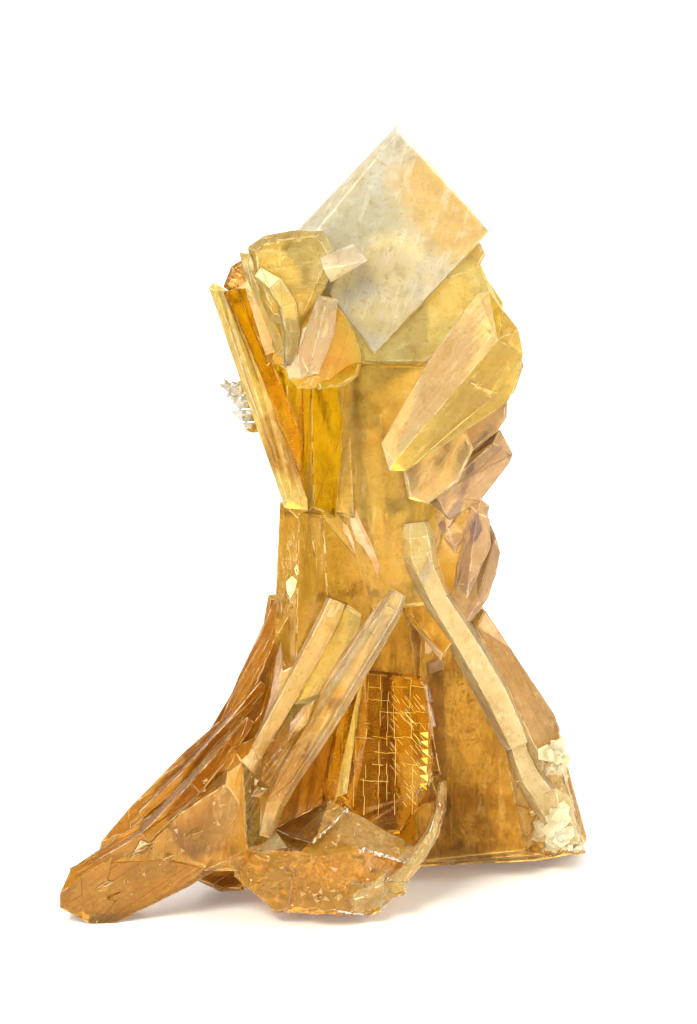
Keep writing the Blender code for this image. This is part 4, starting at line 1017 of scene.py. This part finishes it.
def scatter(name, spots, material, sides, tip_share):
    """Makes a piece with one prism at each spot: its place, its size in mm and its turn."""
    points = bpy.data.meshes.new(name + "_points")
    points.from_pydata([spot[0] for spot in spots], [], [])
    sizes = np.array([[s * MM for s in spot[1]] for spot in spots], np.float32)
    turns = np.array([list(spot[2]) for spot in spots], np.float32)
    for label, rows in (("size", sizes), ("turn", turns)):
        attribute = points.attributes.new(label, "FLOAT_VECTOR", "POINT")
        attribute.data.foreach_set("vector", rows.ravel())
    piece = bpy.data.objects.new(name, points)
    scene.collection.objects.link(piece)
    modifier = piece.modifiers.new("scatter", "NODES")
    modifier.node_group = PRISMS
    values = {"Sides": sides, "Tip Share": tip_share, "Finish": material}
    for socket in PRISMS.interface.items_tree:
        if socket.name in values:
            modifier[socket.identifier] = values[socket.name]
    evaluated = piece.evaluated_get(bpy.context.evaluated_depsgraph_get())
    solid = bpy.data.meshes.new_from_object(evaluated)
    piece.modifiers.remove(modifier)
    piece.data = solid
    bpy.data.meshes.remove(points)
    for label in ("size", "turn"):
        if label in solid.attributes:
            solid.attributes.remove(solid.attributes[label])
    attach(piece, "root")
    print(name + ":", len(spots), "shapes,", sum(len(p.vertices) - 2 for p in solid.polygons),
          "triangles")


# %% [markdown]
# ## What the small pieces are made of
# Healed cracks in calcite are films of tiny gas bubbles, which scatter nearly all light, so
# they read as cream specks. The brown clouds are grains of goethite, an iron oxide. Open
# cleavage cracks are thin gaps of air that mirror light. The late crystals on the left are
# colourless calcite, and the crust is a fine pale calcite. All of them are so small that
# two close tones and a low bump are enough, so one function makes them all.

# %% Materials of the small pieces


def plain_finish(name, light, dark, scale, settings):
    """A Principled finish of two tones. scale is how many mottles there are in each mm."""
    material, tree, shader = new_material(name, settings)
    where = add(tree, "ShaderNodeMapping", {"Scale": OBJECT_TO_MM},
                {"Vector": add(tree, "ShaderNodeTexCoord")["Object"]})[0]
    tone = pattern(tree, where, (scale, scale, scale))
    tree.links.new(lay_over(tree, light, dark, tone, 0.42, 0.62, 1.0), shader.inputs["Base Color"])
    bump = add(tree, "ShaderNodeBump", {"Strength": 0.4, "Distance": 0.00015}, {"Height": tone})[0]
    tree.links.new(bump, shader.inputs["Normal"])
    return material


# a healed crack's bubbles: cream and nearly matt
gas_film = plain_finish("gas_film_inclusions", "#fff6dc", "#f3dfae", 0.9, {"Roughness": 0.35})
# earthy iron oxide: a dull brown without a gloss
goethite = plain_finish("goethite_grains", "#7d4d16", "#5a3510", 1.5, {"Roughness": 0.6})
# air in an open crack: a bright yellow line, a painted reflection of the light that it mirrors inside the
# stone
crack_air = plain_finish("cleavage_crack_air", "#ffe98c", "#f6c63c", 0.6, {"Roughness": 0.18})
# late calcite without iron: glassy and nearly white
fresh_calcite = plain_finish("colourless_calcite", "#f0ebe0", "#d6d0c4", 0.7,
                             {"Roughness": 0.08, "Transmission Weight": 0.4, "IOR": 1.6})
# fine grained calcite: cream, waxy and without a clear depth
white_crust = plain_finish("white_calcite_crust", "#e9dcb6", "#d3c394", 0.35,
                           {"Roughness": 0.16, "IOR": 1.56, "Subsurface Weight": 0.5,
                            "Subsurface Scale": 0.001, "Subsurface Radius": (1.0, 0.9, 0.8)})
# fresh breaks: small mirrors with a warm body
broken_calcite = plain_finish("broken_calcite", "#f6d9a2", "#e8bd72", 0.5,
                              {"Roughness": 0.1, "Transmission Weight": 0.5, "IOR": 1.6})
# films in the trunk and at the waist: a rose painted reflection and a pale yellow painted highlight
rose_reflection_film = plain_finish("rose_crack_reflection", "#e6bb90", "#d6a06c", 0.5, {"Roughness": 0.16})
glint_film = plain_finish("yellow_painted_glint", "#fff3bc", "#f5dc84", 0.6, {"Roughness": 0.12})
print("materials in the file:", len(bpy.data.materials))

# %% [markdown]
# ## Veils of flecks and fibres
# A veil is a slightly wavy sheet up to a few millimetres below the skin. Flecks are thrown
# onto it and kept only where a noise is high enough, which gives it the torn, wispy look of
# a healed crack, and where they are well inside the solid. Needles follow the growth of
# their crystal. A brown cloud is made as a veil is, of grains.

# %% Where the flecks and needles lie
# name, middle (across, up), reach (across, up), turn, depth from and to in mm, how many
VEILS = [
    ("summit_cloud", (6.0, 122.0), (11, 15), 0.6, (0.7, 5.0), 1500),
    ("summit_foot", (9.0, 110.0), (9, 6), 0.0, (0.7, 3.0), 450),
    ("trunk_veil", (9.0, 86.0), (8, 13), 0.3, (0.3, 4.0), 1300),
    ("waist_veil", (4.0, 66.0), (10, 10), -0.5, (0.3, 3.0), 1300),
    ("column_veil", (-7.0, 90.0), (6, 10), 0.1, (0.3, 3.0), 500),
    ("blade_veil", (16.5, 98.5), (5, 10), -0.7, (0.3, 2.0), 450),
    ("lump_veil", (-3.0, 11.0), (12, 7), 0.2, (0.9, 4.0), 500),
    ("grid_veil", (6.0, 32.0), (8, 12), 0.0, (1.0, 4.0), 260),
    ("foot_veil", (-31.0, 15.0), (14, 7), 0.65, (0.3, 2.5), 800),
]
GRAINS = [
    ("slab_cloud", (22.5, 22.0), (11, 7), 0.1, (0.3, 3.5), 1500),
    ("slab_foot", (24.0, 13.6), (12, 2.2), 0.05, (0.3, 2.5), 750),
    ("slab_high", (20.0, 40.0), (5, 9), 0.3, (0.3, 3.5), 600),
    ("trunk_grains", (6.5, 90.5), (8, 7), 0.2, (0.3, 3.5), 380),
    ("waist_grains", (9.0, 55.5), (5, 5), 0.0, (0.3, 3.5), 220),
]
# name, middle, reach, growth (across, up), depth from and to, length in mm, how many
NEEDLES = [
    ("summit_fibres", (10.0, 127.0), (10, 13), (0.34, 1.0), (0.4, 2.6), (2.5, 8.0), 240),
    ("summit_cross", (4.0, 118.0), (9, 8), (1.0, 0.5), (0.4, 2.6), (1.5, 5.0), 110),
    ("slab_fibres", (22.0, 32.0), (9, 15), (0.05, 1.0), (0.4, 4.0), (1.5, 6.0), 170),
    ("trunk_fibres", (8.0, 82.0), (8, 16), (-0.2, 1.0), (0.4, 4.0), (1.0, 4.0), 90),
    ("blade_fibres", (17.0, 98.0), (5, 10), (0.66, 0.75), (0.3, 1.6), (2.0, 7.0), 70),
]
print("veils:", len(VEILS), "brown clouds:", len(GRAINS), "bundles of needles:", len(NEEDLES))

# %% Throw the flecks and needles
# how large the patches and gaps of a veil are, and below which noise it is torn
VEIL_PATCH = 2.6 * MM
TORN_BELOW = -0.12
# in mm: how thick a needle is, and how far its end stays from the skin
NEEDLE_THICK, NEEDLE_MARGIN = 0.06, 0.1


def in_oval(middle, reach, turn, a, b):
    """Across and up at the shares a and b of the two reaches of a turned oval."""
    across = middle[0] + reach[0] * a * math.cos(turn) - reach[1] * b * math.sin(turn)
    up = middle[1] + reach[0] * a * math.sin(turn) + reach[1] * b * math.cos(turn)
    return across, up


def inside_spots(middle, reach, turn, depths, count):
    """Points inside the body, on a wavy sheet that goes from the first depth to the second."""
    spots = []
    for _ in range(count):
        far, angle = math.sqrt(rng.random()), 2 * math.pi * rng.random()
        a, b = far * math.cos(angle), far * math.sin(angle)
        across, up = in_oval(middle, reach, turn, a, b)
        sink = depths[0] + (depths[1] - depths[0]) * (0.5 + 0.5 * a) * (0.6 + 0.8 * rng.random())
        point, _ = front(across, up, sink)
        if point and noise.noise(point / VEIL_PATCH) > TORN_BELOW and is_inside(point):
            spots.append(point)
    return spots


def fleck(point, low, high):
    """A thin plate from low to high mm wide, turned roughly to the viewer."""
    wide = low + (high - low) * rng.random() ** 2
    size = (wide, wide * (0.5 + 0.5 * rng.random()), 0.04 + 0.08 * rng.random())
    facing = TO_VIEWER + Vector([0.9 * rng.uniform(-1, 1) for _ in "xyz"])
    return point, size, turn_to(facing, 2 * math.pi * rng.random())


flecks = [fleck(p, 0.08, 0.42) for _, *veil in VEILS for p in inside_spots(*veil)]
grains = [fleck(p, 0.10, 0.45) for _, *cloud in GRAINS for p in inside_spots(*cloud)]
needles = []
for _, middle, reach, growth, depths, (shortest, longest), count in NEEDLES:
    for point in inside_spots(middle, reach, 0.0, depths, count):
        across = growth[0] + rng.uniform(-0.12, 0.12)
        way = face_direction(across, growth[1], rng.uniform(-0.04, 0.04))
        long = shortest + (longest - shortest) * rng.random() ** 2
        if is_inside(point + way * (long * MM), NEEDLE_MARGIN):
            needles.append((point, (NEEDLE_THICK, NEEDLE_THICK, long), turn_to(way)))
scatter("healed_veils", flecks, gas_film, 5, 0.4)
scatter("brown_clouds", grains, goethite, 5, 0.4)
scatter("inner_fibres", needles, gas_film, 4, 0.15)

# %% [markdown]
# ## Cleavage cracks and flakes
# Calcite splits along three sets of planes. In the deep golden rhomb at the foot they show
# as a lattice of bright lines, with short slanted cracks like a fish bone at its right, and
# along its right edge as a row of small triangles. Their bright yellow is a painted reflection
# of the light that the cracks mirror. Each crack is a very thin closed plate
# that stands in the skin and looks out of it by a few hundredths of a millimetre. Films on
# the trunk and at the waist are leaf-shaped plates that follow the skin: the rose films are a
# painted reflection of cracks, and the two pale yellow films at the waist are a painted
# highlight. All of them are
# built point by point, because each lies at a place of its own that a ray has to find.

# %% One crack
# in mm: how thick a crack is, how far it looks out, and the drop to another crystal
CRACK_THICK = 0.055
CRACK_PROUD = 0.03
MOST_DROP = 3.0


def crack(bm, start, end, depth, lean=0.0, thick=CRACK_THICK):
    """A thin closed plate that stands in the skin on a line of the face. It is left out where
    the line drops to another crystal. Its sizes are in mm, and lean tilts it sideways."""
    a, normal = front(*start, -CRACK_PROUD)
    b, _ = front(*end, -CRACK_PROUD)
    if a is None or b is None or abs(in_face(a)[2] - in_face(b)[2]) > MOST_DROP:
        return
    along = (b - a).normalized()
    half = normal.cross(along) * (0.5 * thick * MM)
    inward = (-normal + normal.cross(along) * lean).normalized() * (depth * MM)
    rim = [a - half, b - half, b + half, a + half]
    corners = [bm.verts.new(p) for p in rim] + [bm.verts.new(p + inward) for p in rim]
    for quad in ((0, 1, 2, 3), (7, 6, 5, 4), (0, 4, 5, 1), (1, 5, 6, 2), (2, 6, 7, 3), (3, 7, 4, 0)):
        bm.faces.new([corners[k] for k in quad])


def finish_piece(name, bm, material):
    """Makes a piece of a bmesh of closed shapes, with its faces turned outwards."""
    bmesh.ops.recalc_face_normals(bm, faces=bm.faces)
    solid = bpy.data.meshes.new(name)
    bm.to_mesh(solid)
    bm.free()
    solid.materials.append(material)
    piece = bpy.data.objects.new(name, solid)
    scene.collection.objects.link(piece)
    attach(piece, "root")
    print(name + ":", len(solid.polygons), "faces")


# %% The lattice of cracks
GRID_LOW, GRID_HIGH, GRID_LEFT, GRID_RIGHT = 20.0, 45.0, 1.5, 15.5
# where each upright crack starts, across, and how far it leans to the right up to the top
UPRIGHTS = [(1.4, 1.2), (3.4, 0.9), (6.0, 0.6), (7.5, 0.5), (9.2, -0.3), (12.2, -0.4)]
LEVELS = [43.4, 41.0, 38.8, 36.8, 34.2, 31.5, 29.3, 26.4]
# the share of the lengths along an upright and a level that are cracked
UPRIGHT_SHARE, LEVEL_SHARE = 0.72, 0.60
BONES, BONE_ACROSS, BONE_UP = 70, (8.0, 14.5), (22.0, 42.0)

lattice = bmesh.new()
for across, lean in UPRIGHTS:
    up = GRID_LOW
    while up < GRID_HIGH:
        long = 1.2 + 3.2 * rng.random()
        if rng.random() < UPRIGHT_SHARE:
            here = across + lean * (up - GRID_LOW) / (GRID_HIGH - GRID_LOW) + rng.uniform(-0.15, 0.15)
            crack(lattice, (here, up), (here + rng.uniform(-0.1, 0.2), up + long),
                  0.3 + 0.5 * rng.random(), rng.uniform(-0.3, 0.3))
        up += long
for level in LEVELS:
    across = GRID_LEFT + 4.0 * rng.random()
    while across < GRID_RIGHT:
        long = 0.8 + 2.2 * rng.random()
        if rng.random() < LEVEL_SHARE:
            crack(lattice, (across, level + rng.uniform(-0.2, 0.2)), (across + long, level - 0.12 * long),
                  0.3 + 0.4 * rng.random(), rng.uniform(-0.3, 0.3))
        across += long
for _ in range(BONES):
    across, up = rng.uniform(*BONE_ACROSS), rng.uniform(*BONE_UP)
    long = 0.8 + 1.8 * rng.random()
    crack(lattice, (across, up), (across + 0.62 * long, up - 0.78 * long), 0.2, thick=0.05)
finish_piece("cleavage_lattice", lattice, crack_air)

# %% Films and teeth
# how far a film looks out of the skin, how deep the two low leaves lie, and the thickness
FILM_PROUD, LEAF_DEEP, FILM_THICK = -0.03, 0.1, 0.12
# painted reflection: rose films where cracks mirror the light
ROSE_LEAVES = [
    ([(0.6, 76.4), (2.0, 75.4), (3.2, 72.6), (5.0, 69.0), (6.2, 65.4), (6.0, 63.0),
      (4.9, 66.0), (3.4, 68.6), (2.0, 70.0), (0.9, 73.4)], FILM_PROUD),
    ([(-0.4, 73.2), (0.5, 72.6), (1.6, 69.6), (1.9, 67.6), (0.8, 69.2), (-0.3, 71.6)], FILM_PROUD),
    ([(17.0, 72.6), (19.6, 76.6), (21.6, 77.4), (20.2, 73.6), (18.0, 70.6)], LEAF_DEEP),
    ([(22.2, 72.8), (24.0, 75.0), (25.0, 72.0), (23.2, 69.0)], LEAF_DEEP),
]
# painted highlight: pale yellow films where a glare spot falls at the waist
GLINTS = [
    ([(-10.7, 62.4), (-9.6, 63.5), (-8.7, 62.6), (-9.1, 60.9), (-9.9, 59.4), (-10.5, 60.6)],
     FILM_PROUD),
    ([(-9.2, 64.8), (-8.7, 65.6), (-8.3, 64.0), (-8.8, 63.6)], FILM_PROUD),
]
TEETH, TEETH_LOW, TEETH_RIGHT, TOOTH_STEP = 7, 24.5, 14.9, 1.55
TOOTH_PROUD, TOOTH_THICK = -0.02, 0.3


def leaf(bm, outline, sink, thick):
    """A thin closed plate that follows the skin, with an outline in the face frame."""
    rows = [[bm.verts.new(front(across, up, deep)[0]) for across, up in outline]
            for deep in (sink, sink + thick)]
    bm.faces.new(rows[0])
    bm.faces.new(rows[1][::-1])
    for k in range(len(outline)):
        j = (k + 1) % len(outline)
        bm.faces.new((rows[0][k], rows[1][k], rows[1][j], rows[0][j]))


for name, leaves, material in (
    ("rose_leaves", ROSE_LEAVES, rose_reflection_film),
    ("waist_glint", GLINTS, glint_film),
):
    films = bmesh.new()
    for outline, sink in leaves:
        leaf(films, outline, sink, FILM_THICK)
    finish_piece(name, films, material)
teeth = bmesh.new()
for k in range(TEETH):
    up = TEETH_LOW + k * TOOTH_STEP
    right = TEETH_RIGHT + 0.06 * k + rng.uniform(-0.2, 0.2)
    tip = (right - 1.1 - 0.5 * rng.random(), up + 1.1)
    leaf(teeth, [(right, up), (right, up + 1.3), tip], TOOTH_PROUD, TOOTH_THICK)
finish_piece("yellow_teeth", teeth, crack_air)

# %% [markdown]
# ## Late crystals, crust and chips
# Small colourless crystals grew on the left edge. A pale crust covers the knob, the foot of
# the long bar and the corner of the slab. Chips of broken calcite lie in the cuts of the
# foot and the lump, and each of them flashes like a small mirror. All of them are thrown
# onto the skin at random, crust and chips denser in the middle of their place, and sunk
# into it a little. A crust grain that would look out past the right side of the solid's box
# is left out.

# %% The late crystals
LATE_ACROSS, LATE_UP = (-23.0, -17.6), (90.5, 99.5)
LATE_COUNT, LATE_SINK = 52, 0.1


def roughly(normal, spread):
    """A direction near the skin's normal, off it by up to spread on each axis."""
    return normal + Vector([rng.uniform(-spread, spread) for _ in "xyz"])


late_spots = []
for _ in range(LATE_COUNT):
    point, normal = front(rng.uniform(*LATE_ACROSS), rng.uniform(*LATE_UP), LATE_SINK)
    if point:
        way = roughly(normal + face_direction(-1.0, 0.3) * 0.2, 0.3)
        long = 0.6 + 0.8 * rng.random() ** 2
        late_spots.append((point, (0.75 * long, 0.75 * long, long), turn_to(way, 3 * rng.random())))
scatter("late_crystals", late_spots, fresh_calcite, 4, 0.36)

# %% The crust
# name, middle (across, up), reach, how many, size from and to in mm
CRUSTS = [
    ("knob", (38.6, 30.4), (1.5, 2.6), 22, (1.2, 2.8)),
    ("bar_foot", (39.0, 17.4), (1.9, 3.4), 40, (1.2, 3.2)),
    ("corner", (42.3, 13.6), (2.0, 0.9), 7, (1.0, 2.0)),
]
CRUST_DEEP = (-20.0, 40.0)
# in sizes of a grain: how far it is sunk, how high it is, and how far it may reach sideways
CRUST_SINK, CRUST_HIGH, CRUST_REACH = 0.04, 0.42, 0.6

crust_spots = []
for _, middle, reach, count, (small, big) in CRUSTS:
    for _ in range(count):
        across = middle[0] + reach[0] * rng.gauss(0, 0.5)
        point, normal = front(across, middle[1] + reach[1] * rng.gauss(0, 0.5))
        if point and CRUST_DEEP[0] < in_face(point)[2] < CRUST_DEEP[1]:
            size = small + (big - small) * rng.random() ** 2
            way = roughly(normal, 0.25)
            sizes = (size, size * (0.6 + 0.4 * rng.random()), size * CRUST_HIGH)
            spin = math.pi * rng.random()
            if point.x + CRUST_REACH * size * MM < cad_high.x:
                sunk = point - normal * (CRUST_SINK * size * MM)
                crust_spots.append((sunk, sizes, turn_to(way, spin)))
scatter("white_crust", crust_spots, white_crust, 5, 0.62)

# %% The chips
# name, middle (across, up), reach, turn, how many
CHIPS = [
    ("foot_chips", (-35.0, 12.0), (13, 6), 0.65, 34),
    ("foot_top", (-23.0, 24.0), (5, 8), 0.1, 12),
    ("lump_chips", (-1.0, 7.0), (11, 4), 0.1, 36),
    ("bar_chips", (-13.0, 30.0), (4, 9), -0.5, 14),
]
CHIP_SINK = 0.05

chips = []
for _, middle, reach, turn, count in CHIPS:
    for _ in range(count):
        across, up = in_oval(middle, reach, turn, rng.gauss(0, 0.5), rng.gauss(0, 0.5))
        point, normal = front(across, up, CHIP_SINK)
        if point:
            size = 0.4 + 1.7 * rng.random() ** 3
            way = roughly(normal, 0.4)
            sizes = (size, size * (0.4 + 0.4 * rng.random()), 0.35 * size)
            chips.append((point, sizes, turn_to(way, 2 * math.pi * rng.random())))
scatter("bright_chips", chips, broken_calcite, 3, 0.12)

# %% [markdown]
# ## Stage, light and camera
# The specimen stands on a white floor under a wide soft light, as a mineral is shown for
# its catalogue. A pale world lights the crystal from all round and through its back, which
# is what makes it glow. The pale world is dimmed where the viewer stands, or the facets
# would mirror white. The camera looks 15 degrees down with a long lens.

# %% Stage
FLOOR_REACH = 9.0
FLOOR_CORNERS = ((-1, -1), (1, -1), (1, 1), (-1, 1))

floor_mesh = bpy.data.meshes.new("white_floor")
floor_points = [(x * FLOOR_REACH, y * FLOOR_REACH, 0.0) for x, y in FLOOR_CORNERS]
floor_mesh.from_pydata(floor_points, [], [(0, 1, 2, 3)])
floor = bpy.data.objects.new("white_floor", floor_mesh)
scene.collection.objects.link(floor)
# matt white paper: it shines a little of its own, so that it stays white in the soft light
paper, _, _ = new_material("matt_paper", {
    "Base Color": linear("#f7f6f4"),
    "Roughness": 0.95,
    "Specular IOR Level": 0.1,
    "Emission Color": (1.0, 1.0, 1.0, 1.0),
    "Emission Strength": 0.15,
})
paper.cycles.emission_sampling = "NONE"
floor_mesh.materials.append(paper)
print("floor", 2 * FLOOR_REACH, "m wide")

# %% Light
TARGET = Vector((0.0, 0.0, 0.065))
WARM = (1.0, 0.94, 0.80)

world = bpy.data.worlds.new("soft_studio")
scene.world = world
world.use_nodes = True
tree = world.node_tree
background = tree.nodes["Background"]
sky_way = add(tree, "ShaderNodeTexCoord")["Generated"]
high = add(tree, "ShaderNodeSeparateXYZ", None, {"Vector": sky_way})[2]
towards = add(tree, "ShaderNodeVectorMath", {"operation": "DOT_PRODUCT", 1: TO_VIEWER},
              {0: sky_way})["Value"]
# the sky is brighter above than below, and dim behind the viewer
bright = add(tree, "ShaderNodeMapRange", from_to(-0.3, 0.8, 0.75, 1.15), {"Value": high})[0]
dimmed = add(tree, "ShaderNodeMapRange", from_to(-0.10, 0.70, 1.0, 0.08), {"Value": towards})[0]
strength = add(tree, "ShaderNodeMath", {"operation": "MULTIPLY"}, {0: bright, 1: dimmed})[0]
tree.links.new(strength, background.inputs["Strength"])
background.inputs["Color"].default_value = (1.0, 0.99, 0.975, 1.0)


def soft_light(name, where, size, power, colour=(1.0, 1.0, 1.0)):
    """A rectangular light in metres and watts that looks at the specimen."""
    light = bpy.data.lights.new(name, "AREA")
    light.shape = "RECTANGLE"
    light.size, light.size_y = size
    light.energy = power
    light.color = colour
    lamp = bpy.data.objects.new(name, light)
    scene.collection.objects.link(lamp)
    lamp.location = where
    lamp.rotation_euler = (TARGET - Vector(where)).to_track_quat("-Z", "Y").to_euler()


soft_light("key_softbox", (-0.38, -0.75, 0.85), (0.45, 0.45), 13.0, WARM)
soft_light("side_softbox", (0.75, -0.25, 0.40), (0.25, 0.60), 4.0, WARM)
soft_light("left_softbox", (-0.80, -0.90, 0.50), (0.22, 0.50), 4.0)
soft_light("back_softbox", (0.15, 0.85, 0.55), (0.90, 0.60), 9.0)

# %% Camera
# in metres: the height that the picture shows at AIM, its middle, and the way to there
VIEW_HEIGHT = 0.1862
DISTANCE = 1.5
SENSOR = 36.0
AIM = Vector((4.09, -1.28, 69.94)) * MM

camera = bpy.data.objects.new("camera", bpy.data.cameras.new("camera"))
scene.collection.objects.link(camera)
camera.location = AIM + TO_VIEWER * DISTANCE
camera.rotation_euler = (-TO_VIEWER).to_track_quat("-Z", "Y").to_euler()
camera.data.sensor_width = SENSOR
camera.data.lens = SENSOR * DISTANCE / VIEW_HEIGHT
camera.data.clip_start = 0.05
scene.camera = camera
scene.view_settings.view_transform = "Standard"
scene.view_settings.look = "None"
# light that enters the stone leaves it after a few bounces, so more would only cost time
scene.cycles.max_bounces = 6
scene.cycles.transmission_bounces = 5
scene.cycles.diffuse_bounces = 2
scene.cycles.glossy_bounces = 2
scene.cycles.volume_bounces = 0
scene.cycles.use_light_tree = False
print("lens in mm:", round(camera.data.lens, 1))

# %% Give the pieces to the frame
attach(specimen, "root")
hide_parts("calcite_cluster")
